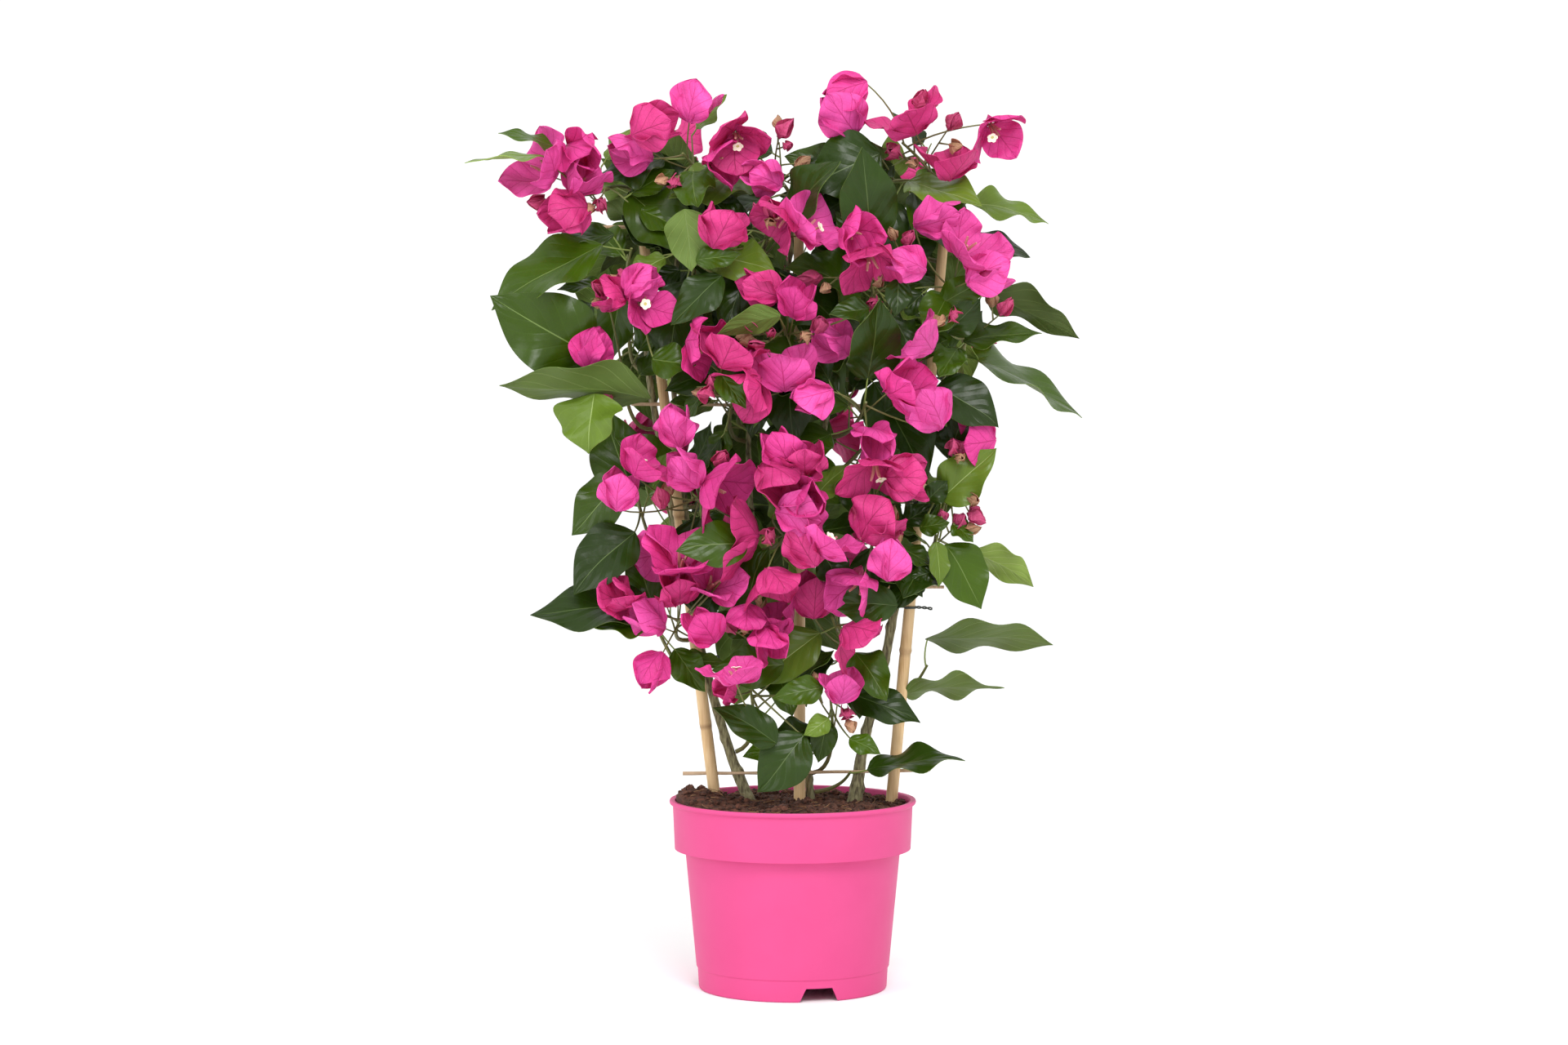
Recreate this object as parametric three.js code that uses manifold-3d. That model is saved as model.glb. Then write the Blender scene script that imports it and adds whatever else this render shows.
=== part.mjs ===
// Potted bougainvillea trained up a bamboo rack.
// Millimetres, +Z up, origin on the pot's axis at the floor; -Y is the face that is looked at.
import * as THREE from 'three';
import { mergeVertices } from 'three/addons/utils/BufferGeometryUtils.js';
import Module from 'manifold-3d';

const wasm = await Module();
wasm.setup();

// ---- sizes -------------------------------------------------------------------------------------

const CLEAR = 0.35; // gap left between neighbouring solids
const UP = new THREE.Vector3(0, 0, 1);
const GOLDEN = 2.399963;

// The pot: collar band below the rim, raised floor with drain holes, notches through the foot ring.
const POT = {
  height: 130, rim: 85, lip: 2, band: 96, bandTop: 82.6, bandFoot: 81.3, shoulder: 74.1,
  foot: 64.4, wall: 1.5, plate: 10, sides: 36,
  notches: 3, notchTurn: 16, notchFoot: 28, notchHead: 18.6, notchHigh: 9.2,
  drains: 6, drainRadius: 4.5, drainRing: 40,
};
const SOIL = { top: 125, heap: 1.6, grain: 1.3, sides: 20, seed: 5 };

// Each cane leans from its foot to its top; rings are the heights of its joints.
const CANE = { y: 4, foot: 40, footRadius: 4.25, topRadius: 3.3, ringHigh: 1.6, ringOut: 0.5, sides: 8 };
const CANES = {
  cane_left: { low: [-42.2, 40], high: [-106.2, 546], rings: [181, 326, 471] },
  cane_middle: { low: [5.0, 40], high: [4.1, 543], rings: [148, 293, 438] },
  cane_right: { low: [60.2, 40], high: [107.1, 554], rings: [88, 232.5, 377.6, 520] },
};
const BAR = { radius: 1.05, sides: 8 };
const BARS = {
  bar_foot: [[-75.9, 147], [94.9, 149.5]],
  bar_low: [[-92, 275], [104.2, 275.9]],
  bar_high: [[-110.9, 402], [112, 400.5]],
  bar_top: [[-135.9, 523], [126, 524]],
};

// Woody limbs: control points, then the radius at the foot, the radius at the tip and the root flare.
const LIMBS = {
  left_stem: {
    points: [[-28.5, 8, 124], [-41.6, 11, 156], [-61.4, 13, 224], [-74.8, 13, 286], [-89.4, 13, 365],
      [-98.9, 13, 421], [-102.7, 13, 494], [-107, 12, 540]],
    foot: 3.3, tip: 1.9, flare: 1.5, rings: 17,
  },
  middle_stem: {
    points: [[13.4, 11, 124], [8.6, 12.5, 161], [3.6, 13, 190], [0, 13, 222], [-17, 13, 252], [-24, 13, 292],
      [-29.7, 13, 343], [-28.5, 13, 399], [-14.4, 13, 444], [-3.8, 12, 489], [0.7, 12, 530]],
    foot: 2.3, tip: 1.5, flare: 0.8, rings: 20,
  },
  right_stem: {
    points: [[42.4, 8, 124], [49.4, 11, 168], [60.7, 13.2, 211], [69.1, 13.4, 253], [76.9, 13.2, 306],
      [84.7, 13, 372], [91.4, 13, 427], [99.7, 13, 483], [104, 12, 536]],
    foot: 3.6, tip: 1.9, flare: 2.2, rings: 17,
  },
};
const BOUGHS = {
  left_bough: {
    from: 'left_stem', at: 236, side: 1,
    points: [[-69.5, 15, 300], [-76, 15, 345], [-83, 15, 440], [-78, 14, 510], [-67, 12, 542]],
    foot: 2.2, tip: 1.5, flare: 0, rings: 12,
  },
  right_bough: {
    from: 'middle_stem', at: 262, side: 1,
    points: [[8.8, 15, 322], [22.6, 15, 388], [38, 15, 455], [45.7, 13, 538]],
    foot: 2.0, tip: 1.5, flare: 0, rings: 12,
  },
};
const TIE = { high: 2.2, thick: 0.9, tail: 11, tailWide: 1.4 };
const TIES = {
  tie_left: ['cane_left', 'left_stem', 228.5],
  tie_middle: ['cane_middle', 'middle_stem', 207],
  tie_right_low: ['cane_right', 'right_stem', 262],
  tie_right_mid: ['cane_right', 'right_stem', 334.5],
  tie_right_high: ['cane_right', 'right_stem', 419.7],
};

// Foliage: a leaf's blade; a bloom's cup, its rim `wide` and `up` and its floor at `end`; a shut bud,
// whose point is at `end`.
const LEAF = { least: 54, most: 84, slim: 0.6, broad: 0.42, keel: 1.5, curl: 0.14 };
const BRACT = { wide: 26, up: 25, end: 2.4 };
const BUD = { wide: 5.6, up: 9, end: 20 };
const TWIG = { stem: 1.7, stemTip: 1.2, root: 0.4, stalk: 0.8, petiole: 0.9, sides: 3, leave: 19 };
const HALO = 1.2; // how far round a blade or twig other shoots must stay
const SWINGS = 13; // places tried round the stem for a leaf, in each of three lengths
const NUDGES = [...Array(SWINGS * 3).keys()];

// One row for each shoot: the limb it springs from, the height it does so (0 for the limb's tip), the
// side it leaves by, the middle of its space, the reach of its blooms across, deep and up, how many
// opened heads, buds and leaves it bears, the turn of its spiral, and the tips of its longest leaves
// with how far each blade faces out rather than up.
const SHOOTS = {
  crest_right: ['right_stem', 0, 1, [76, -22, 580], [58, 10, 27], 5, 4, 2, 2.0, []],
  crest_middle: ['middle_stem', 0, -1, [-20, -18, 565], [25, 14, 29], 3, 2, 3, 2.4, []],
  crest_left: ['left_bough', 0, -1, [-77, -22, 573], [18, 12, 34], 3, 1, 3, 2.4, []],
  far_left: ['left_stem', 0, -1, [-143, -40, 544], [22, 14, 26], 4, 2, 2, 0.1,
    [[-211.5, -88, 562, 0.3], [-195.5, -60, 582, 0.2]]],
  upper_centre: ['middle_stem', 486, -1, [-18, -52, 520], [31, 14, 8], 3, 1, 3, 5.2, []],
  upper_left: ['left_bough', 478, 1, [-72, -42, 505], [34, 12, 28], 0, 0, 7, 0.6, []],
  upper_right_centre: ['right_bough', 468, 1, [53, -55, 489], [35, 13, 27], 3, 3, 3, 3.8, []],
  upper_right: ['right_bough', 0, 1, [82, -14, 555], [30, 12, 18], 0, 0, 6, 0.9,
    [[178.7, 40, 526, 0.6], [164, 50, 506, 0.5], [20, -34, 556, 3]]],
  right_bloom: ['right_stem', 478, 1, [108, -42, 482], [11, 13, 52], 3, 1, 2, 1.5, []],
  left_upper: ['left_stem', 462, -1, [-112, -36, 508], [20, 12, 20], 0, 0, 1, 2.4,
    [[-197, -50, 469, 3], [-168, -30, 520, 0.3]]],
  left_buds: ['left_bough', 442, 1, [-110, -52, 474], [22, 10, 8], 3, 2, 1, 4.4, []],
  mid_centre: ['middle_stem', 428, 1, [-6, -60, 455], [38, 13, 16], 2, 3, 3, 1.0, []],
  mid_right: ['right_bough', 420, 1, [60, -60, 434], [24, 12, 21], 2, 0, 3, 0.6, []],
  left_mid: ['left_stem', 385, -1, [-118, -40, 428], [20, 12, 8], 1, 1, 1, 2.2,
    [[-201, -62, 466, 3], [-195, -70, 412, 2], [-158, -50, 374, 3]]],
  centre: ['middle_stem', 376, -1, [-38, -62, 417], [27, 12, 19], 4, 1, 3, 5.3, []],
  centre_right: ['right_bough', 380, 1, [50, -66, 404], [40, 10, 18], 3, 0, 3, 0.8, []],
  right_mid: ['right_stem', 412, 1, [124, -14, 456], [18, 12, 16], 0, 1, 3, 0.5,
    [[197, 30, 446, 0.5], [171, -20, 454, 0.6], [206, 88, 391, 0.9], [154, -34, 406, 1.4]]],
  left_bloom: ['left_bough', 330, 1, [-70, -58, 340], [38, 14, 38], 7, 2, 3, 1.3, []],
  left_low: ['left_stem', 296, -1, [-108, -34, 342], [14, 10, 14], 0, 0, 1, 2.0,
    [[-152, -40, 312, 2], [-151, -58, 280, 3]]],
  centre_bloom: ['middle_stem', 300, 1, [3, -70, 325], [24, 13, 46], 8, 1, 2, 4.1, []],
  right_centre: ['right_stem', 300, -1, [56, -58, 321], [16, 13, 46], 6, 3, 3, 3.7, []],
  right_small: ['right_stem', 345, 1, [112, -26, 362], [11, 10, 44], 1, 2, 2, 0.5, []],
  right_low: ['right_stem', 286, 1, [100, -20, 312], [14, 10, 18], 0, 1, 4, 0.5,
    [[168.6, 40, 276, 0.6], [126, -30, 266, 3], [137, -36, 380, 2]]],
  low_left_bloom: ['left_stem', 240, -1, [-78, -55, 258], [28, 13, 42], 6, 1, 1, 1.1, []],
  low_centre: ['middle_stem', 232, -1, [-26, -52, 248], [18, 10, 9], 3, 2, 3, 4.4, []],
  low_right: ['right_stem', 214, -1, [27, -45, 259], [31, 10, 24], 2, 1, 3, 2.6, []],
  low_far_left: ['left_stem', 210, -1, [-106, -30, 280], [10, 8, 8], 0, 0, 1, 2.0,
    [[-176, -50, 262, 0.6], [-138, -60, 254, 0.8]]],
  foot_left: ['left_stem', 160, 1, [-30, -42, 212], [16, 10, 12], 2, 0, 3, 1.5,
    [[-19.7, -60, 138, 3], [-56, -50, 214, 2]]],
  foot_right: ['middle_stem', 146, 1, [26, -34, 204], [16, 10, 14], 1, 2, 4, 0.6, [[86, -24, 187, 1]]],
  foot_far_right: ['right_stem', 190, 1, [94, 10, 222], [8, 6, 8], 0, 0, 0, 0.5,
    [[179, 20, 236, 1], [144, 2, 206, 1]]],
  base_shoot: ['middle_stem', 133, 1, [40, -14, 150], [8, 6, 6], 0, 0, 1, 0.5, [[116.7, -24, 160, 0.4]]],
  back_top_left: ['left_bough', 515, -1, [-82, 62, 546], [34, 14, 22], 3, 1, 6, 0.4, []],
  back_top_right: ['right_stem', 500, -1, [72, 62, 546], [36, 14, 20], 4, 1, 6, 1.4, []],
  back_upper: ['middle_stem', 455, 1, [-6, 74, 506], [34, 16, 22], 4, 1, 6, 2.2, []],
  back_left: ['left_stem', 425, -1, [-116, 62, 474], [24, 14, 26], 3, 1, 6, 0.9, [[-172, 84, 440, 1]]],
  back_right: ['right_stem', 450, 1, [108, 62, 478], [24, 14, 26], 3, 1, 6, 0.2, []],
  back_centre: ['middle_stem', 385, -1, [-20, 78, 424], [34, 16, 24], 4, 1, 6, 1.9, []],
  back_right_mid: ['right_bough', 350, 1, [72, 66, 398], [26, 14, 24], 4, 0, 5, 2.6, []],
  back_left_mid: ['left_bough', 300, -1, [-88, 60, 348], [22, 14, 26], 3, 1, 5, 1.1, []],
  back_low: ['middle_stem', 246, -1, [8, 66, 308], [28, 14, 24], 4, 0, 6, 0.8, []],
};
// The crown's outline that inner leaves keep to: height, then its left and right edges.
const CROWN = [[140, -50, 60], [180, -62, 78], [225, -80, 84], [250, -120, 84], [300, -138, 118],
  [350, -122, 124], [400, -150, 132], [450, -158, 140], [500, -160, 140], [550, -168, 132],
  [590, -110, 128], [604, -60, 100]];

// ---- general geometry ----------------------------------------------------------------------------

const point = (x, y, z) => new THREE.Vector3(x, y, z);

// The geometry as a closed solid, its corners merged by place alone.
function solid(geometry) {
  const bare = new THREE.BufferGeometry();
  bare.setAttribute('position', geometry.getAttribute('position'));
  bare.setIndex(geometry.index);
  const merged = mergeVertices(bare, 1e-4);
  return new wasm.Manifold(new wasm.Mesh({
    numProp: 3,
    vertProperties: merged.getAttribute('position').array,
    triVerts: new Uint32Array(merged.index.array),
  }));
}

// A solid back as three.js geometry, flat shaded.
function geometryOf(body) {
  const mesh = body.getMesh();
  const geometry = new THREE.BufferGeometry();
  geometry.setAttribute('position', new THREE.BufferAttribute(mesh.vertProperties, 3));
  geometry.setIndex(new THREE.BufferAttribute(mesh.triVerts, 1));
  const flat = geometry.toNonIndexed();
  flat.computeVertexNormals();
  return flat;
}

// Moves every corner of a geometry to where `place` sends it.
function mapped(geometry, place) {
  const position = geometry.getAttribute('position');
  for (let i = 0; i < position.count; i += 1) {
    const to = place(position.getX(i), position.getY(i), position.getZ(i));
    position.setXYZ(i, to.x, to.y, to.z);
  }
  return geometry;
}

// A round bar bent along a curve; radiusAt gives its radius for each share of the way.
function bent(curve, radiusAt, sides, rings) {
  const frames = curve.computeFrenetFrames(rings);
  const middles = curve.getSpacedPoints(rings);
  return mapped(new THREE.CylinderGeometry(1, 1, 1, sides, rings), (x, y, z) => {
    const ring = Math.round((y + 0.5) * rings);
    const radius = radiusAt(ring / rings);
    const across = frames.normals[ring].clone();
    const other = across.clone().cross(frames.tangents[ring]);
    return middles[ring].clone().addScaledVector(across, x * radius).addScaledVector(other, z * radius);
  });
}

// A straight bar between two points.
function bar(low, high, radius, sides) {
  return solid(bent(new THREE.LineCurve3(low, high), () => radius, sides, 1));
}

// Repeatable numbers from 0 to 1.
function seeded(seed) {
  let state = seed >>> 0;
  return () => {
    state = (state + 0x6d2b79f5) >>> 0;
    let mixed = Math.imul(state ^ (state >>> 15), 1 | state);
    mixed = (mixed + Math.imul(mixed ^ (mixed >>> 7), 61 | mixed)) ^ mixed;
    return ((mixed ^ (mixed >>> 14)) >>> 0) / 4294967296;
  };
}

// ---- pot and soil --------------------------------------------------------------------------------

function lathe(profile, sides) {
  const points = profile.map(([radius, height]) => new THREE.Vector2(radius, height));
  return new THREE.LatheGeometry(points, sides).rotateX(Math.PI / 2);
}

function potSolid() {
  const { height, rim, lip, band, bandTop, bandFoot, shoulder, foot, wall, plate } = POT;
  const body = solid(lathe([
    [0, plate], [foot - 1.9, plate], [foot - wall, 0], [foot, 0], [foot + 1.4, 14.6], [foot + 1.7, 15.2],
    [shoulder, band], [bandFoot, band], [bandTop, height - 2 * lip], [rim - 0.7, height - lip * 1.3],
    [rim, height - lip * 0.6], [rim - 0.5, height], [bandTop - wall, height - 0.4],
    [bandTop - wall - 0.4, height - 4], [bandFoot - wall, band + wall], [shoulder - wall, band - wall],
    [foot - wall + 0.9, plate + wall + 2], [foot - wall - 2, plate + wall], [0, plate + wall],
  ], POT.sides));
  const cuts = [];
  for (let i = 0; i < POT.notches; i += 1) {
    const wide = new THREE.Shape([
      new THREE.Vector2(-POT.notchFoot / 2, -1),
      new THREE.Vector2(POT.notchFoot / 2, -1),
      new THREE.Vector2(POT.notchHead / 2, POT.notchHigh),
      new THREE.Vector2(-POT.notchHead / 2, POT.notchHigh),
    ]);
    const turn = THREE.MathUtils.degToRad(POT.notchTurn + (i * 360) / POT.notches);
    const wedge = new THREE.ExtrudeGeometry(wide, { depth: 14, bevelEnabled: false });
    cuts.push(solid(wedge.rotateX(Math.PI / 2).translate(0, -56, 0).rotateZ(turn)));
  }
  for (let i = 0; i < POT.drains; i += 1) {
    const angle = ((i + 0.5) * 2 * Math.PI) / POT.drains;
    const spot = point(Math.cos(angle) * POT.drainRing, Math.sin(angle) * POT.drainRing, plate - 2);
    cuts.push(bar(spot, spot.clone().setZ(plate + 6), POT.drainRadius, 12));
  }
  return cuts.reduce((left, cut) => left.subtract(cut), body);
}

function soilSolid(pockets) {
  const draw = seeded(SOIL.seed);
  const { foot, wall, shoulder, band, bandFoot, bandTop, plate, height } = POT;
  const edge = bandTop - wall - 0.9;
  const heap = [edge, 66, 50, 34, 18, 0].map((radius) => [
    radius, SOIL.top + SOIL.heap * (1 - radius / edge) + (radius === edge ? -1 : 0),
  ]);
  const plain = lathe([
    [0, plate + wall + CLEAR], [foot - wall - 2.2, plate + wall + CLEAR],
    [foot - wall + 0.4, plate + wall + 2.4], [shoulder - wall - CLEAR, band - wall + CLEAR],
    [bandFoot - wall - CLEAR, band + wall + CLEAR], [edge - 0.3, height - 8], ...heap,
  ], SOIL.sides);
  const merged = mergeVertices(plain.deleteAttribute('uv').deleteAttribute('normal'), 1e-4);
  const rough = mapped(merged, (x, y, z) => {
    const inside = Math.hypot(x, y) < edge - 2 && z > SOIL.top - 0.5;
    return point(x, y, z + (inside ? (draw() - 0.5) * 2 * SOIL.grain : 0));
  });
  return pockets.reduce((left, pocket) => left.subtract(pocket), solid(rough));
}

// ---- rack ----------------------------------------------------------------------------------------

function canePoint({ low, high }, height) {
  const share = (height - low[1]) / (high[1] - low[1]);
  return point(low[0] + (high[0] - low[0]) * share, CANE.y, height);
}

function caneRadius({ low, high }, height) {
  return CANE.footRadius + ((CANE.topRadius - CANE.footRadius) * (height - low[1])) / (high[1] - low[1]);
}

// A cane's solid, grown by `extra` all round.
function caneSolid(cane, extra) {
  const low = canePoint(cane, cane.low[1] - extra);
  const high = canePoint(cane, cane.high[1] + extra);
  const length = low.distanceTo(high);
  const profile = [[0, 0], [caneRadius(cane, cane.low[1]) + extra, 0]];
  cane.rings.forEach((height) => {
    const along = ((height - low.z) / (high.z - low.z)) * length;
    const radius = caneRadius(cane, height) + extra;
    profile.push([radius, along - CANE.ringHigh], [radius + CANE.ringOut, along]);
    profile.push([radius - 0.1, along + CANE.ringHigh]);
  });
  profile.push([CANE.topRadius + extra, length], [0, length]);
  const turn = new THREE.Quaternion().setFromUnitVectors(UP, high.clone().sub(low).normalize());
  return solid(lathe(profile, CANE.sides).applyQuaternion(turn).translate(low.x, low.y, low.z));
}

function barSolid([low, high], extra) {
  return bar(point(low[0], CANE.y, low[1]), point(high[0], CANE.y, high[1]), BAR.radius + extra, BAR.sides);
}

// ---- woody limbs ---------------------------------------------------------------------------------

function limbOf({ points, foot, tip, flare, rings }) {
  const curve = new THREE.CatmullRomCurve3(points.map((p) => point(...p)), false, 'centripetal');
  const radiusAt = (share) => foot + (tip - foot) * share + flare * Math.exp(-share * 22);
  return { curve, radiusAt, rings };
}

// Share of the way along a limb at which it passes a height.
function shareAt(limb, height) {
  let low = 0;
  let high = 1;
  for (let i = 0; i < 24; i += 1) {
    const middle = (low + high) / 2;
    if (limb.curve.getPointAt(middle).z < height) low = middle;
    else high = middle;
  }
  return low;
}

// Where a side shoot leaves a limb: a spot just clear of the bark, and the way it sets off.
function springOf(limb, height, way) {
  const share = height === 0 ? 1 : shareAt(limb, height);
  const middle = limb.curve.getPointAt(share);
  const tangent = limb.curve.getTangentAt(share);
  if (height === 0) return { spot: middle.addScaledVector(tangent, CLEAR), way: tangent };
  const off = way.clone().addScaledVector(tangent, -way.dot(tangent)).normalize();
  return {
    spot: middle.addScaledVector(off, limb.radiusAt(share) + CLEAR),
    way: off,
  };
}

function limbSolid(limb, extra) {
  return solid(bent(limb.curve, (share) => limb.radiusAt(share) + extra, 7, limb.rings));
}

// ---- ties ----------------------------------------------------------------------------------------

// Outline round two circles, as a path wound one way.
function belt(path, a, radiusA, b, radiusB) {
  const lean = Math.atan2(b.y - a.y, b.x - a.x);
  const open = Math.acos((radiusA - radiusB) / Math.hypot(b.x - a.x, b.y - a.y));
  path.absarc(a.x, a.y, radiusA, lean + open, lean + 2 * Math.PI - open, false);
  path.absarc(b.x, b.y, radiusB, lean - open, lean + open, false);
  path.closePath();
  return path;
}

function tieSolid(caneName, limbName, height) {
  const cane = CANES[caneName];
  const limb = limbs[limbName];
  const share = shareAt(limb, height);
  const a = canePoint(cane, height);
  const b = limb.curve.getPointAt(share);
  const lean = limb.curve.getTangentAt(share);
  const slack = CLEAR + 0.15 + (TIE.high / 2) * Math.hypot(lean.x, lean.y) / lean.z + 0.1;
  const inner = [caneRadius(cane, height) + slack, limb.radiusAt(share) + slack];
  const shape = belt(new THREE.Shape(), a, inner[0] + TIE.thick, b, inner[1] + TIE.thick);
  shape.holes.push(belt(new THREE.Path(), a, inner[0], b, inner[1]));
  const loop = new THREE.ExtrudeGeometry(shape, { depth: TIE.high, bevelEnabled: false, curveSegments: 4 });
  const start = a.clone().add(point(inner[0] + TIE.thick / 2, -1, 0));
  const tail = new THREE.BoxGeometry(TIE.tail, TIE.thick, TIE.tailWide)
    .translate(start.x + TIE.tail / 2, start.y, height);
  return solid(loop.translate(0, 0, height - TIE.high / 2)).add(solid(tail));
}

// ---- foliage -------------------------------------------------------------------------------------

// A closed horn: `rings` rings of `sides` corners, then one point; place(ring, x, z) sends each corner
// of the unit ring (or its middle, 0, 0) to its spot.
function horn(sides, rings, place) {
  return solid(mapped(new THREE.ConeGeometry(1, 1, sides, rings), (x, y, z) => {
    const ring = Math.round((y + 0.5) * rings);
    const full = ring === rings ? 1 : 1 - ring / rings;
    return place(ring, x / full, z / full);
  }));
}

// Two directions square to `way`, the first of them as near to `beside` as may be.
function squareTo(way, beside) {
  const across = square(beside, way);
  return (x, z) => across.clone().multiplyScalar(x).addScaledVector(across.clone().cross(way), z);
}

// A leaf with its stalk: the stalk runs from `from` to `base`, the blade on along `along`, its two
// halves raised from a keel to the side `face` points to.
function leafSolid({ from, base, along, face, length, width }, extra) {
  const beside = face.clone().cross(along);
  const stalk = base.clone().sub(from).normalize();
  const [first, second] = [squareTo(stalk, beside), squareTo(stalk.clone().add(along).normalize(), beside)];
  const blade = squareTo(along, beside);
  const stem = TWIG.petiole + extra;
  const full = length + extra;
  const broad = base.clone().addScaledVector(along, full * LEAF.broad)
    .addScaledVector(face, -LEAF.curl * full * LEAF.broad ** 2);
  const half = (width / 2 + extra) / Math.sin((2 * Math.PI) / 3);
  return horn(3, 3, (ring, x, z) => {
    if (ring === 0) return from.clone().add(first(x * (TWIG.root + extra), z * (TWIG.root + extra)));
    if (ring === 1) return base.clone().add(second(x * stem, z * stem));
    if (ring === 3) return base.clone().addScaledVector(along, full).addScaledVector(face, -LEAF.curl * full);
    return broad.clone().add(blade(x * half, z * (LEAF.keel + extra)));
  });
}

// A bloom on its stalk, its three bracts as one three-cornered cup; a bud is a spindle.
function bloomSolid({ kind, from, spot, axis, spin, size }, extra) {
  const beside = square(point(0.3, 0.5, 0.8), axis).applyAxisAngle(axis, spin);
  const stalk = spot.clone().sub(from).normalize();
  const rings = [squareTo(stalk, beside), squareTo(stalk.clone().add(axis).normalize(), beside),
    squareTo(axis, beside)];
  const wide = [TWIG.root + extra, TWIG.stalk + extra, kind.wide * size + extra];
  const middles = [[from, 0], [spot, 0], [spot, kind.up * size + extra], [spot, kind.end + extra]]
    .map(([at, up]) => at.clone().addScaledVector(axis, up));
  return horn(3, 3, (ring, x, z) => (ring === 3 ? middles[3]
    : middles[ring].clone().add(rings[ring](x * wide[ring], z * wide[ring]))));
}

// A shoot's own stem, thicker at its root.
function stemSolid(curve) {
  return solid(bent(curve, (share) => TWIG.stem + (TWIG.stemTip - TWIG.stem) * share, TWIG.sides, 3));
}

// The part of `v` square to `axis`, one long.
const square = (v, axis) => v.clone().addScaledVector(axis, -v.dot(axis)).normalize();

// Everything a shoot may bear, in the order it is tried.
function planOf(name, row, index) {
  const [limbName, height, side, middle, reach, heads, buds, leaves, turn, tips] = row;
  const centre = point(...middle);
  const front = middle[1] < CANE.y ? -1 : 1;
  const out = point(middle[0] / 260, front, 0.1).normalize();
  const way = point(side, front > 0 ? 0.6 : -0.1, 0).normalize();
  const spring = springOf(limbs[limbName], height, way);
  const end = centre.clone().addScaledVector(out, -reach[1] * 0.6);
  const leave = Math.min(TWIG.leave, spring.spot.distanceTo(end) * 0.5);
  const curve = new THREE.QuadraticBezierCurve3(
    spring.spot, spring.spot.clone().addScaledVector(spring.way, leave), end,
  );
  const items = [];
  const blooms = heads + buds;
  for (let i = 0; i < blooms; i += 1) {
    const draw = seeded(index * 1000 + i);
    const kind = (i * 7) % blooms < heads ? BRACT : BUD;
    const far = Math.sqrt((i + 0.5) / blooms);
    const angle = i * GOLDEN + turn;
    const offset = point(Math.cos(angle) * far, 0, Math.sin(angle) * far);
    const spot = centre.clone().add(point(offset.x * reach[0], 0, offset.z * reach[2]))
      .addScaledVector(out, reach[1] * Math.sqrt(1 - far * far) + (draw() - 0.5) * 8);
    const axis = out.clone().multiplyScalar(0.6).addScaledVector(offset, 0.55)
      .add(point(draw() - 0.5, draw() - 0.5, draw() - 0.1)).normalize();
    items.push({ kind, spot, axis, spin: draw() * 6.283, size: 0.86 + 0.2 * draw(), out,
      share: 0.4 + (0.6 * (i + 0.7)) / blooms });
  }
  tips.forEach((tip, i) => {
    const facing = tip[3];
    items.push({ kind: LEAF, tip: point(...tip), facing, end, out, share: 1 - 0.4 * (i / tips.length) });
  });
  for (let i = 0; i < leaves; i += 1) {
    const draw = seeded(index * 1000 + 600 + i);
    const angle = i * GOLDEN + turn * 2 + 1;
    const length = LEAF.least + (LEAF.most - LEAF.least) * draw();
    const along = point(Math.cos(angle), 0, Math.sin(angle) * 0.8 - 0.4)
      .addScaledVector(out, 0.1 + 0.5 * draw()).normalize();
    const lift = 0.3 + 0.6 * draw();
    items.push({ kind: LEAF, along, lift, length, out, stalk: 10 + 16 * draw(),
      share: 0.3 + (0.65 * (i + 0.5)) / leaves });
  }
  return { name, curve, items };
}

// The solid of one item; `nudge` tries another place for it, a shorter leaf from the second round on.
function itemSolid(shoot, item, nudge, extra) {
  const from = shoot.curve.getPointAt(Math.min(item.share, 0.97));
  const { out } = item;
  if (item.kind !== LEAF) {
    const spot = item.spot.clone().addScaledVector(out, (nudge % 2 ? -3 : 3) * Math.ceil(nudge / 2));
    const axis = item.axis.clone().addScaledVector(spot.clone().sub(from).normalize(), 0.4).normalize();
    return bloomSolid({ ...item, from, spot, axis }, extra);
  }
  const swing = (nudge % 2 ? 1 : -1) * Math.ceil(nudge / 2);
  if (item.tip) {
    const tip = item.tip.clone().add(point(0, 7 * swing, 0));
    const along = tip.clone().sub(item.end).normalize();
    const length = Math.min(LEAF.most, tip.distanceTo(item.end) * 0.88);
    const face = square(out.clone().multiplyScalar(item.facing).add(UP), along);
    const base = tip.addScaledVector(along, -length).addScaledVector(face, LEAF.curl * length);
    return leafSolid({ from, base, along, face, length, width: length * LEAF.slim }, extra);
  }
  const round = Math.floor(nudge / SWINGS);
  const along = item.along.clone()
    .applyAxisAngle(out, ((nudge % 2 ? 1 : -1) * Math.ceil((nudge % SWINGS) / 2) * 2 * Math.PI) / SWINGS);
  const face = square(out.clone().multiplyScalar(0.8).addScaledVector(UP, item.lift), along);
  const length = item.length * (1 - 0.14 * round);
  const base = from.clone().addScaledVector(along, item.stalk).addScaledVector(UP, 3);
  if (!inCrown(base.clone().addScaledVector(along, length))) return null;
  return leafSolid({ from, base, along, face, length, width: length * LEAF.slim }, extra);
}

// Whether a leaf's tip keeps inside the crown's outline.
function inCrown({ x, z }) {
  const above = CROWN.findIndex(([height]) => height > z);
  if (above < 1) return false;
  const [low, high] = [CROWN[above - 1], CROWN[above]];
  const share = (z - low[0]) / (high[0] - low[0]);
  return x > low[1] + (high[1] - low[1]) * share && x < low[2] + (high[2] - low[2]) * share;
}

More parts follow.
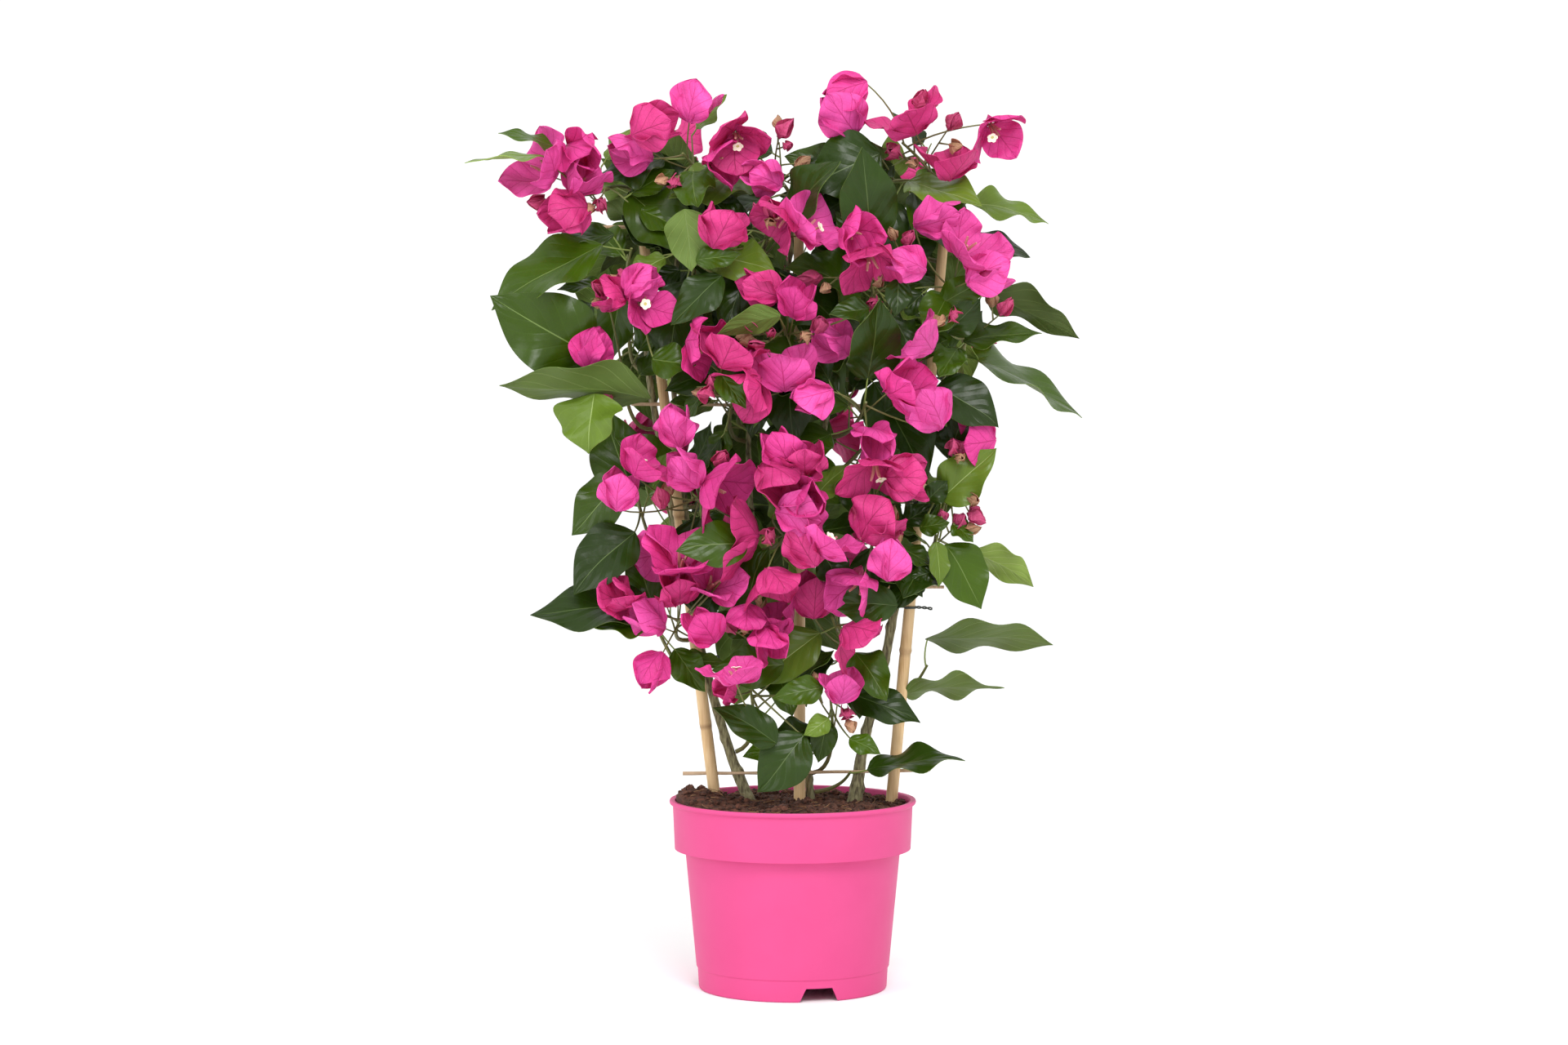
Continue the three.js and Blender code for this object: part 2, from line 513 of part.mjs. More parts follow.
// Solids already standing, each under the name of its node, searched by bounding box.
class Thicket {
  constructor() {
    this.held = [];
  }

  add(name, body, isStem) {
    this.held.push({ name, body, isStem, box: body.boundingBox() });
  }

  // Whether an item keeps clear: its halo of every other node, and a leaf's bare body of what its own
  // shoot already bears.
  free(name, body, halo, isLeaf) {
    const { min, max } = halo.boundingBox();
    return this.held.every((other) => (other.name === name && (other.isStem || !isLeaf))
      || other.box.min.some((low, i) => low > max[i]) || other.box.max.some((high, i) => high < min[i])
      || other.body.intersect(other.name === name ? body : halo).volume() < 1e-6);
  }
}

// ---- the plant, limb by limb and shoot by shoot --------------------------------------------------

const limbs = {};
Object.entries(LIMBS).forEach(([name, size]) => {
  limbs[name] = limbOf(size);
});
Object.entries(BOUGHS).forEach(([name, size]) => {
  const { spot, way } = springOf(limbs[size.from], size.at, point(size.side, 0.5, 0));
  const second = spot.clone().addScaledVector(way, 7);
  limbs[name] = limbOf({ ...size, points: [spot.toArray(), second.toArray(), ...size.points] });
});

const bodies = {};
const deep = Object.values(CANES).map((cane) => caneSolid(cane, CLEAR))
  .concat(Object.keys(LIMBS).map((name) => limbSolid(limbs[name], CLEAR)))
  .concat(Object.keys(LIMBS).map((name) => {
    const foot = limbs[name].curve.getPointAt(0);
    return bar(foot.clone().setZ(foot.z - CLEAR), foot.clone().setZ(foot.z + 2), limbs[name].radiusAt(0), 8);
  }));
bodies.pot = potSolid();
bodies.soil = soilSolid(deep);
Object.entries(CANES).forEach(([name, cane]) => {
  bodies[name] = Object.values(BARS).reduce(
    (left, size) => left.subtract(barSolid(size, CLEAR)), caneSolid(cane, 0),
  );
});
Object.entries(BARS).forEach(([name, size]) => {
  bodies[name] = barSolid(size, 0);
});
Object.entries(limbs).forEach(([name, limb]) => {
  bodies[name] = limbSolid(limb, 0);
});
Object.entries(TIES).forEach(([name, size]) => {
  bodies[name] = tieSolid(...size);
});

const thicket = new Thicket();
Object.entries(bodies).forEach(([name, body]) => thicket.add(name, body));

const shoots = Object.entries(SHOOTS).map(([name, row], index) => planOf(name, row, index + 1));
// Stems go up first, then the longest leaves, then the blooms, then the leaves between them.
const grown = {};
shoots.forEach(({ name, curve }) => {
  grown[name] = [stemSolid(curve)];
  thicket.add(name, grown[name][0], true);
});
const rounds = [(item) => item.tip, (item) => item.kind !== LEAF, (item) => item.kind === LEAF && !item.tip];
rounds.forEach((wanted) => shoots.forEach((shoot) => {
  shoot.items.filter(wanted).forEach((item) => {
    const nudge = NUDGES.find((n) => {
      const body = itemSolid(shoot, item, n, 0);
      return body && thicket.free(shoot.name, body, itemSolid(shoot, item, n, HALO), item.kind === LEAF);
    });
    if (nudge === undefined) return;
    const body = itemSolid(shoot, item, nudge, 0);
    thicket.add(shoot.name, body, false);
    grown[shoot.name].push(body);
  });
}));

// Each shoot is fused, its sealed hollows filled and any loose scrap dropped: its largest shell is kept.
Object.entries(grown).forEach(([name, pieces]) => {
  const shells = wasm.Manifold.union(pieces).decompose();
  bodies[name] = shells.reduce((most, shell) => (shell.volume() > most.volume() ? shell : most));
});

// ---- assembly ------------------------------------------------------------------------------------

const FINISHES = {
  pot: [0xf0569c, 0.42], soil: [0x3d271b, 0.95], cane: [0xd0a870, 0.55], bar: [0xcfae7c, 0.7],
  tie: [0x4a4d47, 0.6], limb: [0x8a8060, 0.8], bloom: [0xdd4b9a, 0.6], leaf: [0x3f5f24, 0.45],
};
const kindOf = (name) => {
  if (FINISHES[name]) return name;
  if (/^(cane|bar|tie)_/.test(name)) return name.split('_')[0];
  if (limbs[name]) return 'limb';
  return SHOOTS[name][5] > SHOOTS[name][7] ? 'bloom' : 'leaf';
};
const bush = new THREE.Group();
bush.name = 'bougainvillea';
Object.entries(bodies).forEach(([name, body]) => {
  const [color, roughness] = FINISHES[kindOf(name)];
  const mesh = new THREE.Mesh(geometryOf(body), new THREE.MeshStandardMaterial({ color, roughness }));
  mesh.name = name;
  bush.add(mesh);
});

export default bush;
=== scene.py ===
"""Looks of a potted bougainvillea trained up a fan-shaped bamboo rack.

Sizes are real millimetres, turned to metres where a mesh is made. The origin is on the pot's axis at the
floor, +Z is up and -Y is the face that is looked at. The tables of limbs and shoots repeat those of the
solids, and the growing rule is theirs, carried on here to finer twigs, blades and bracts.
"""

import logging
import math
from dataclasses import dataclass, field, replace
from enum import Enum
from typing import Any, Callable, Sequence

import bmesh
import bpy
import numpy as np
from mathutils import Matrix, Vector, noise
from mathutils.kdtree import KDTree


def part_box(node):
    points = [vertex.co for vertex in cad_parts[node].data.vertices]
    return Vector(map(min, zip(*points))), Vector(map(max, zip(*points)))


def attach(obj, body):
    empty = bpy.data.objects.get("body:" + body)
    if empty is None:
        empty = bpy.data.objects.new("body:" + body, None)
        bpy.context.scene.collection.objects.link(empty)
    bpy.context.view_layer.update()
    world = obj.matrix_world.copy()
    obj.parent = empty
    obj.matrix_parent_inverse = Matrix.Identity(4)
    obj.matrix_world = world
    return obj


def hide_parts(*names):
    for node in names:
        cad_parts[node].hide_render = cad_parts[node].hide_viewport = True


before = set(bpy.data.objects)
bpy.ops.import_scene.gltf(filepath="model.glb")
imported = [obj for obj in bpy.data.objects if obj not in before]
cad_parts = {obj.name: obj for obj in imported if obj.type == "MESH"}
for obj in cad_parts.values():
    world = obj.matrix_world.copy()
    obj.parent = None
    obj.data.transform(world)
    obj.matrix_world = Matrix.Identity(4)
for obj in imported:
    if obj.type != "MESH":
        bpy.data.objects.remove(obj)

log = logging.getLogger("bougainvillea")

Vec = np.ndarray
MM = 0.001
UP = np.array([0.0, 0.0, 1.0])
GOLDEN = 2.399963
ROUGH_TURN = 6.283  # a full turn as the solids' rule rounds it
CLEAR = 0.35  # gap that the solids keep from their neighbours

# ---- the tables of the solids --------------------------------------------------------------------


@dataclass(frozen=True)
class CaneSize:
    """One cane of the rack: its two ends across and up, and the heights of its joints."""

    low: tuple[float, float]
    high: tuple[float, float]
    rings: tuple[float, ...]


@dataclass(frozen=True)
class LimbSize:
    """One woody limb: where it passes, its radius at foot and tip, and its root flare.

    A bough also names the limb that it leaves, the height at which it does so, and the side.
    """

    points: tuple[tuple[float, float, float], ...]
    foot: float
    tip: float
    flare: float = 0.0
    leaves: str = ""
    at: float = 0.0
    side: float = 0.0


@dataclass(frozen=True)
class ShootSize:
    """One leafy shoot: where it springs from, the middle and reach of its space, and what it bears."""

    limb: str
    height: float
    side: float
    middle: tuple[float, float, float]
    reach: tuple[float, float, float]
    heads: int
    buds: int
    leaves: int
    turn: float
    tips: tuple[tuple[float, float, float, float], ...] = ()


CANE_Y, CANE_FOOT, CANE_TOP = 4.0, 4.25, 3.3
CANES = {
    "cane_left": CaneSize((-42.2, 40), (-106.2, 546), (181, 326, 471)),
    "cane_middle": CaneSize((5.0, 40), (4.1, 543), (148, 293, 438)),
    "cane_right": CaneSize((60.2, 40), (107.1, 554), (88, 232.5, 377.6, 520)),
}
BARS = {
    "bar_foot": ((-75.9, 147), (94.9, 149.5)),
    "bar_low": ((-92, 275), (104.2, 275.9)),
    "bar_high": ((-110.9, 402), (112, 400.5)),
    "bar_top": ((-135.9, 523), (126, 524)),
}
LIMBS = {
    "left_stem": LimbSize(
        ((-28.5, 8, 124), (-41.6, 11, 156), (-61.4, 13, 224), (-74.8, 13, 286), (-89.4, 13, 365),
         (-98.9, 13, 421), (-102.7, 13, 494), (-107, 12, 540)), 3.3, 1.9, 1.5),
    "middle_stem": LimbSize(
        ((13.4, 11, 124), (8.6, 12.5, 161), (3.6, 13, 190), (0, 13, 222), (-17, 13, 252), (-24, 13, 292),
         (-29.7, 13, 343), (-28.5, 13, 399), (-14.4, 13, 444), (-3.8, 12, 489), (0.7, 12, 530)),
        2.3, 1.5, 0.8),
    "right_stem": LimbSize(
        ((42.4, 8, 124), (49.4, 11, 168), (60.7, 13.2, 211), (69.1, 13.4, 253), (76.9, 13.2, 306),
         (84.7, 13, 372), (91.4, 13, 427), (99.7, 13, 483), (104, 12, 536)), 3.6, 1.9, 2.2),
    "left_bough": LimbSize(
        ((-69.5, 15, 300), (-76, 15, 345), (-83, 15, 440), (-78, 14, 510), (-67, 12, 542)), 2.2, 1.5, 0,
        "left_stem", 236, 1),
    "right_bough": LimbSize(
        ((8.8, 15, 322), (22.6, 15, 388), (38, 15, 455), (45.7, 13, 538)), 2.0, 1.5, 0,
        "middle_stem", 262, 1),
}
TIES = {
    "tie_left": ("cane_left", "left_stem", 228.5),
    "tie_middle": ("cane_middle", "middle_stem", 207),
    "tie_right_low": ("cane_right", "right_stem", 262),
    "tie_right_mid": ("cane_right", "right_stem", 334.5),
    "tie_right_high": ("cane_right", "right_stem", 419.7),
}
SHOOTS = {
    "crest_right": ShootSize("right_stem", 0, 1, (76, -22, 580), (58, 10, 27), 5, 4, 2, 2.0),
    "crest_middle": ShootSize("middle_stem", 0, -1, (-20, -18, 565), (25, 14, 29), 3, 2, 3, 2.4),
    "crest_left": ShootSize("left_bough", 0, -1, (-77, -22, 573), (18, 12, 34), 3, 1, 3, 2.4),
    "far_left": ShootSize("left_stem", 0, -1, (-143, -40, 544), (22, 14, 26), 4, 2, 2, 0.1,
                          ((-211.5, -88, 562, 0.3), (-195.5, -60, 582, 0.2))),
    "upper_centre": ShootSize("middle_stem", 486, -1, (-18, -52, 520), (31, 14, 8), 3, 1, 3, 5.2),
    "upper_left": ShootSize("left_bough", 478, 1, (-72, -42, 505), (34, 12, 28), 0, 0, 7, 0.6),
    "upper_right_centre": ShootSize("right_bough", 468, 1, (53, -55, 489), (35, 13, 27), 3, 3, 3, 3.8),
    "upper_right": ShootSize("right_bough", 0, 1, (82, -14, 555), (30, 12, 18), 0, 0, 6, 0.9,
                             ((178.7, 40, 526, 0.6), (164, 50, 506, 0.5), (20, -34, 556, 3))),
    "right_bloom": ShootSize("right_stem", 478, 1, (108, -42, 482), (11, 13, 52), 3, 1, 2, 1.5),
    "left_upper": ShootSize("left_stem", 462, -1, (-112, -36, 508), (20, 12, 20), 0, 0, 1, 2.4,
                            ((-197, -50, 469, 3), (-168, -30, 520, 0.3))),
    "left_buds": ShootSize("left_bough", 442, 1, (-110, -52, 474), (22, 10, 8), 3, 2, 1, 4.4),
    "mid_centre": ShootSize("middle_stem", 428, 1, (-6, -60, 455), (38, 13, 16), 2, 3, 3, 1.0),
    "mid_right": ShootSize("right_bough", 420, 1, (60, -60, 434), (24, 12, 21), 2, 0, 3, 0.6),
    "left_mid": ShootSize("left_stem", 385, -1, (-118, -40, 428), (20, 12, 8), 1, 1, 1, 2.2,
                          ((-201, -62, 466, 3), (-195, -70, 412, 2), (-158, -50, 374, 3))),
    "centre": ShootSize("middle_stem", 376, -1, (-38, -62, 417), (27, 12, 19), 4, 1, 3, 5.3),
    "centre_right": ShootSize("right_bough", 380, 1, (50, -66, 404), (40, 10, 18), 3, 0, 3, 0.8),
    "right_mid": ShootSize("right_stem", 412, 1, (124, -14, 456), (18, 12, 16), 0, 1, 3, 0.5,
                           ((197, 30, 446, 0.5), (171, -20, 454, 0.6), (206, 88, 391, 0.9),
                            (154, -34, 406, 1.4))),
    "left_bloom": ShootSize("left_bough", 330, 1, (-70, -58, 340), (38, 14, 38), 7, 2, 3, 1.3),
    "left_low": ShootSize("left_stem", 296, -1, (-108, -34, 342), (14, 10, 14), 0, 0, 1, 2.0,
                          ((-152, -40, 312, 2), (-151, -58, 280, 3))),
    "centre_bloom": ShootSize("middle_stem", 300, 1, (3, -70, 325), (24, 13, 46), 8, 1, 2, 4.1),
    "right_centre": ShootSize("right_stem", 300, -1, (56, -58, 321), (16, 13, 46), 6, 3, 3, 3.7),
    "right_small": ShootSize("right_stem", 345, 1, (112, -26, 362), (11, 10, 44), 1, 2, 2, 0.5),
    "right_low": ShootSize("right_stem", 286, 1, (100, -20, 312), (14, 10, 18), 0, 1, 4, 0.5,
                           ((168.6, 40, 276, 0.6), (126, -30, 266, 3), (137, -36, 380, 2))),
    "low_left_bloom": ShootSize("left_stem", 240, -1, (-78, -55, 258), (28, 13, 42), 6, 1, 1, 1.1),
    "low_centre": ShootSize("middle_stem", 232, -1, (-26, -52, 248), (18, 10, 9), 3, 2, 3, 4.4),
    "low_right": ShootSize("right_stem", 214, -1, (27, -45, 259), (31, 10, 24), 2, 1, 3, 2.6),
    "low_far_left": ShootSize("left_stem", 210, -1, (-106, -30, 280), (10, 8, 8), 0, 0, 1, 2.0,
                              ((-176, -50, 262, 0.6), (-138, -60, 254, 0.8))),
    "foot_left": ShootSize("left_stem", 160, 1, (-30, -42, 212), (16, 10, 12), 2, 0, 3, 1.5,
                           ((-19.7, -60, 138, 3), (-56, -50, 214, 2))),
    "foot_right": ShootSize("middle_stem", 146, 1, (26, -34, 204), (16, 10, 14), 1, 2, 4, 0.6,
                            ((86, -24, 187, 1),)),
    "foot_far_right": ShootSize("right_stem", 190, 1, (94, 10, 222), (8, 6, 8), 0, 0, 0, 0.5,
                                ((179, 20, 236, 1), (144, 2, 206, 1))),
    "base_shoot": ShootSize("middle_stem", 133, 1, (40, -14, 150), (8, 6, 6), 0, 0, 1, 0.5,
                            ((116.7, -24, 160, 0.4),)),
    "back_top_left": ShootSize("left_bough", 515, -1, (-82, 62, 546), (34, 14, 22), 3, 1, 6, 0.4),
    "back_top_right": ShootSize("right_stem", 500, -1, (72, 62, 546), (36, 14, 20), 4, 1, 6, 1.4),
    "back_upper": ShootSize("middle_stem", 455, 1, (-6, 74, 506), (34, 16, 22), 4, 1, 6, 2.2),
    "back_left": ShootSize("left_stem", 425, -1, (-116, 62, 474), (24, 14, 26), 3, 1, 6, 0.9,
                           ((-172, 84, 440, 1),)),
    "back_right": ShootSize("right_stem", 450, 1, (108, 62, 478), (24, 14, 26), 3, 1, 6, 0.2),
    "back_centre": ShootSize("middle_stem", 385, -1, (-20, 78, 424), (34, 16, 24), 4, 1, 6, 1.9),
    "back_right_mid": ShootSize("right_bough", 350, 1, (72, 66, 398), (26, 14, 24), 4, 0, 5, 2.6),
    "back_left_mid": ShootSize("left_bough", 300, -1, (-88, 60, 348), (22, 14, 26), 3, 1, 5, 1.1),
    "back_low": ShootSize("middle_stem", 246, -1, (8, 66, 308), (28, 14, 24), 4, 0, 6, 0.8),
}
# The crown's outline that inner leaves keep to: height, then its left and right edges.
CROWN = np.array([
    (140, -50, 60), (180, -62, 78), (225, -80, 84), (250, -120, 84), (300, -138, 118), (350, -122, 124),
    (400, -150, 132), (450, -158, 140), (500, -160, 140), (550, -168, 132), (590, -110, 128), (604, -60, 100),
], float)

# Openings in the crown where the sky shows through: across, up and radius.
SKY = np.array([
    (-121, 456, 17), (-100, 415, 9), (88, 430, 11), (96, 392, 8), (22, 374, 8), (46, 383, 8), (-3, 590, 16),
    (40, 600, 12), (112, 585, 12), (57, 236, 13), (44, 212, 12), (60, 180, 14), (86, 250, 14), (92, 205, 18),
    (-74, 205, 16), (-90, 228, 13), (-12, 196, 8), (18, 172, 12), (-38, 168, 8), (60, 292, 8), (120, 330, 9),
    (-110, 392, 8), (-112, 318, 9), (128, 415, 9), (-120, 262, 9),
], float)

# ---- directions, numbers and curves --------------------------------------------------------------


def vec(*values: float) -> Vec:
    """A point or a direction from its three numbers."""
    return np.array(values, float)


def unit(way: Vec) -> Vec:
    """A direction, one long."""
    return way / np.linalg.norm(way)


def square(way: Vec, axis: Vec) -> Vec:
    """The part of a direction that is square to an axis, one long."""
    return unit(way - axis * way.dot(axis))


def turned(way: Vec, axis: Vec, angle: float) -> Vec:
    """A direction turned about an axis.

    Args:
        way: The direction to turn.
        axis: The axis, one long.
        angle: The turn in radians.

    Returns:
        The turned direction.
    """
    across = np.cross(axis, way) * math.sin(angle)
    return way * math.cos(angle) + across + axis * axis.dot(way) * (1 - math.cos(angle))


class Dice:
    """Repeatable numbers from 0 to 1, the same ones as the solids' rule draws."""

    WORD = 0xFFFFFFFF

    def __init__(self, seed: int) -> None:
        """Starts the row of numbers that belongs to a seed."""
        self.state = seed & self.WORD

    def __call__(self) -> float:
        """The next number."""
        self.state = (self.state + 0x6D2B79F5) & self.WORD
        mixed = ((self.state ^ (self.state >> 15)) * (1 | self.state)) & self.WORD
        twice = ((mixed ^ (mixed >> 7)) * (61 | mixed)) & self.WORD
        mixed = ((mixed + twice) & self.WORD) ^ mixed
        return (mixed ^ (mixed >> 14)) / 4294967296

    def between(self, low: float, high: float) -> float:
        """The next number, spread from low to high."""
        return low + (high - low) * self()

    def angle(self) -> float:
        """The next number, spread over the full turn as the solids' rule rounds it."""
        return self() * ROUGH_TURN

    def spot_within(self, reach: float) -> tuple[float, float]:
        """A place within a circle, from the next two numbers."""
        far, angle = reach * math.sqrt(self()), self() * 2 * math.pi
        return far * math.cos(angle), far * math.sin(angle)


class Path:
    """A smooth way through space whose shares are measured along its length."""

    DIVISIONS = 200
    STEP = 0.0001

    def __init__(self, at: Callable[[float], Vec]) -> None:
        """Measures the curve that `at` gives for each parameter from 0 to 1."""
        self.at = at
        self.shares = np.linspace(0, 1, self.DIVISIONS + 1)
        points = np.array([at(share) for share in self.shares])
        steps = np.linalg.norm(np.diff(points, axis=0), axis=1)
        self.lengths = np.concatenate([[0], np.cumsum(steps)])

    @property
    def length(self) -> float:
        """Length of the whole way."""
        return float(self.lengths[-1])

    def _parameter(self, share: float) -> float:
        """The curve's own parameter at a share of the length."""
        return float(np.interp(share * self.length, self.lengths, self.shares))

    def point(self, share: float) -> Vec:
        """The point at a share of the length."""
        return self.at(self._parameter(share))

    def tangent(self, share: float) -> Vec:
        """The direction of travel at a share of the length."""
        middle = self._parameter(share)
        low, high = max(middle - self.STEP, 0), min(middle + self.STEP, 1)
        return unit(self.at(high) - self.at(low))


def spline(points: Sequence[Vec]) -> Path:
    """A smooth curve through points, with knots spaced by the root of their distance.

    Args:
        points: The points that it passes.

    Returns:
        The measured path.
    """
    row = [2 * points[0] - points[1], *points, 2 * points[-1] - points[-2]]
    spans = len(points) - 1

    def at(parameter: float) -> Vec:
        """The point at a parameter from 0 to 1."""
        index = min(int(parameter * spans), spans - 1)
        part = parameter * spans - index
        a, b, c, d = row[index:index + 4]
        first, second, third = (math.sqrt(np.linalg.norm(q - p)) for p, q in ((a, b), (b, c), (c, d)))
        start = ((b - a) / first - (c - a) / (first + second) + (c - b) / second) * second
        end = ((c - b) / second - (d - b) / (second + third) + (d - c) / third) * second
        cubic = 2 * b - 2 * c + start + end
        return b + part * (start + part * (3 * c - 3 * b - 2 * start - end + part * cubic))

    return Path(at)


def bend(start: Vec, middle: Vec, end: Vec) -> Path:
    """A curve from start to end that is pulled towards a middle point."""
    return Path(lambda t: start * (1 - t) ** 2 + middle * 2 * t * (1 - t) + end * t * t)


# ---- nodes and colours ---------------------------------------------------------------------------

MIX_FACTOR, MIX_A, MIX_B, MIX_RESULT = 0, 6, 7, 2  # a colour Mix node's own sockets
SCALED, SCALED_BY = 0, 3  # a vector Scale node's own sockets

Socket = bpy.types.NodeSocket


def linear(colour: str) -> tuple[float, float, float, float]:
    """A colour for a shader socket.

    Args:
        colour: The colour as sRGB hex, such as "#ee60ab".

    Returns:
        The same colour in linear light, opaque.
    """
    parts = [int(colour[i:i + 2], 16) / 255 for i in (1, 3, 5)]
    red, green, blue = (p / 12.92 if p <= 0.04045 else ((p + 0.055) / 1.055) ** 2.4 for p in parts)
    return red, green, blue, 1.0


def add_node(
    tree: bpy.types.NodeTree, kind: str, inputs: dict[str | int, Any] | None = None, **settings: Any
) -> bpy.types.Node:
    """Adds one node with its settings and links.

    Args:
        tree: The material's node tree.
        kind: The node's type, such as "ShaderNodeTexNoise".
        inputs: For each input, by name or place, the output socket to link, the value to set, or a colour
            as sRGB hex.
        settings: The node's own settings.

    Returns:
        The new node.
    """
    made = tree.nodes.new(kind)
    for name, value in settings.items():
        setattr(made, name, value)
    for place, value in (inputs or {}).items():
        if isinstance(value, Socket):
            tree.links.new(value, made.inputs[place])
        else:
            made.inputs[place].default_value = linear(value) if isinstance(value, str) else value
    return made


class Nodes:
    """A material's node tree, with the steps that the finishes share."""

    def __init__(self, tree: bpy.types.NodeTree) -> None:
        """Starts on a material's tree."""
        self.tree = tree

    def add(
        self, kind: str, output: str | int, inputs: dict[str | int, Any] | None = None, **settings: Any
    ) -> Socket:
        """Adds one shader node, as `add_node` does, and gives one of its outputs."""
        return add_node(self.tree, f"ShaderNode{kind}", inputs, **settings).outputs[output]

    def place(self, stretch: tuple[float, float, float] = (1, 1, 1)) -> Socket:
        """Object coordinates in millimetres, squeezed by a stretch along each axis."""
        scale = tuple(s / MM for s in stretch)
        return self.add("Mapping", "Vector", {"Vector": self.add("TexCoord", "Object"), "Scale": scale})

    def noise(self, place: Socket, size: float, detail: float = 2.0) -> Socket:
        """Noise whose waves are of a size in millimetres."""
        return self.add("TexNoise", "Fac", {"Vector": place, "Scale": 1 / size, "Detail": detail})

    def cells(self, place: Socket, size: float, feature: str = "F1") -> Socket:
        """Distances in a pattern of cells of a size in millimetres."""
        return self.add("TexVoronoi", "Distance", {"Vector": place, "Scale": 1 / size}, feature=feature)

    def sum(self, operation: str, *values: Socket | float) -> Socket:
        """What a Math node makes of its values."""
        return self.add("Math", "Value", dict(enumerate(values)), operation=operation)

    def spread(
        self, value: Socket, low: float = 0.0, high: float = 1.0, top: float = 1.0, curve: str = "LINEAR"
    ) -> Socket:
        """A value from 0 to top, spread from low to high along a curve."""
        ends = {"Value": value, "From Max": top, "To Min": low, "To Max": high}
        return self.add("MapRange", "Result", ends, interpolation_type=curve)

    def dealt(self) -> Socket:
        """The number dealt to each blade, stretch of twig or joint of a cane, and to the painted shade in a
        cane's hollow top.
        """
        return self.add("Attribute", "Fac", attribute_name=Spray.SHADE)

    def mix(self, factor: Socket, first: Socket | str, second: Socket | str) -> Socket:
        """A colour between two."""
        parts = {MIX_FACTOR: factor, MIX_A: first, MIX_B: second}
        return self.add("Mix", MIX_RESULT, parts, data_type="RGBA")

    def ramp(self, value: Socket, *stops: tuple[float, str]) -> Socket:
        """A colour from a ramp whose stops are each a place and an sRGB colour."""
        node = add_node(self.tree, "ShaderNodeValToRGB", {"Fac": value})
        elements = node.color_ramp.elements
        while len(elements) < len(stops):
            elements.new(1.0)
        for element, (place, colour) in zip(elements, stops):
            element.position = place
            element.color = linear(colour)
        return node.outputs["Color"]

    def bump(self, height: Socket, strength: float, deep: float) -> Socket:
        """Normals bent by a height, with a depth in millimetres."""
        return self.add("Bump", "Normal", {"Height": height, "Strength": strength, "Distance": deep * MM})

    def skin(self, colour: Socket, roughness: Socket | float, **more: Socket | float) -> Socket:
        """A principled surface."""
        named = {name.replace("_", " "): value for name, value in more.items()}
        return self.add("BsdfPrincipled", "BSDF", {"Base Color": colour, "Roughness": roughness, **named})


# ---- finishes ------------------------------------------------------------------------------------


@dataclass(frozen=True)
class Finish:
    """A finish that is made once and shared by the pieces that wear it."""

    name: str

    def material(self) -> bpy.types.Material:
        """The finish as a material."""
        found = bpy.data.materials.get(self.name)
        if found:
            return found
        made = bpy.data.materials.new(self.name)
        made.use_nodes = True
        made.node_tree.nodes.clear()
        surface = self.surface(Nodes(made.node_tree))
        add_node(made.node_tree, "ShaderNodeOutputMaterial", {"Surface": surface})
        return made

    def surface(self, nodes: Nodes) -> Socket:
        """Builds the finish's nodes and gives its shader socket."""
        raise NotImplementedError


@dataclass(frozen=True)
class MouldedPolypropylene(Finish):
    """Injection-moulded polypropylene: an even, strong pink with a satin skin and a faint orange peel."""

    name: str = "moulded_pink_polypropylene"
    colour: str = "#d34f87"
    worn: str = "#cb487f"
    dullest: float = 0.55
    glossiest: float = 0.43
    handled: float = 34  # size of the patches that hands have dulled
    peel: float = 1.6  # size of the skin's waves

    def surface(self, nodes: Nodes) -> Socket:
        """Satin plastic whose gloss wavers a little where it was handled."""
        place = nodes.place()
        handled = nodes.noise(place, self.handled, 4.0)
        gloss = nodes.spread(handled, self.glossiest, self.dullest)
        normal = nodes.bump(nodes.noise(place, self.peel), 0.05, 0.3)
        colour = nodes.mix(handled, self.colour, self.worn)
        return nodes.skin(colour, gloss, Normal=normal, IOR=1.49, Specular_IOR_Level=0.16)


@dataclass(frozen=True)
class Peat(Finish):
    """Damp milled peat: near black-brown crumbs with drier, redder ones among them."""

    name: str = "milled_peat"
    damp: str = "#2b1811"
    dry: str = "#6b4130"
    crumb: float = 3.2
    grain: float = 1.1

    def surface(self, nodes: Nodes) -> Socket:
        """Rough crumbs, each with its own damp."""
        place = nodes.place()
        grain = nodes.noise(place, self.grain, 6.0)
        mixed = nodes.sum("MULTIPLY", nodes.cells(place, self.crumb), grain)
        colour = nodes.ramp(mixed, (0.05, self.damp), (0.55, self.dry))
        return nodes.skin(colour, 0.93, Normal=nodes.bump(grain, 0.7, 0.8))


@dataclass(frozen=True)
class DriedCulm(Finish):
    """Dried bamboo: a hard straw-coloured skin with fine streaks along it, browner at its joints."""

    name: str = "dried_bamboo_culm"
    straw: str = "#dfbf90"
    streak: str = "#bd9560"
    joint: str = "#8a6740"
    roughness: float = 0.46
    fibre: float = 0.7
    drawn_out: float = 0.03  # how far a streak is shortened along the grain, so that it runs long
    patch: float = 26

    def surface(self, nodes: Nodes) -> Socket:
        """Streaked skin that darkens where the mesh says there is a joint, and as painted shade down a cane's
        hollow top.
        """
        fibres = nodes.noise(nodes.place((1, 1, self.drawn_out)), self.fibre, 3.0)
        both = nodes.sum("MULTIPLY", fibres, nodes.noise(nodes.place(), self.patch))
        skin = nodes.ramp(both, (0.16, self.straw), (0.46, self.streak))
        colour = nodes.mix(nodes.dealt(), skin, self.joint)
        return nodes.skin(colour, self.roughness, Normal=nodes.bump(fibres, 0.25, 0.2))


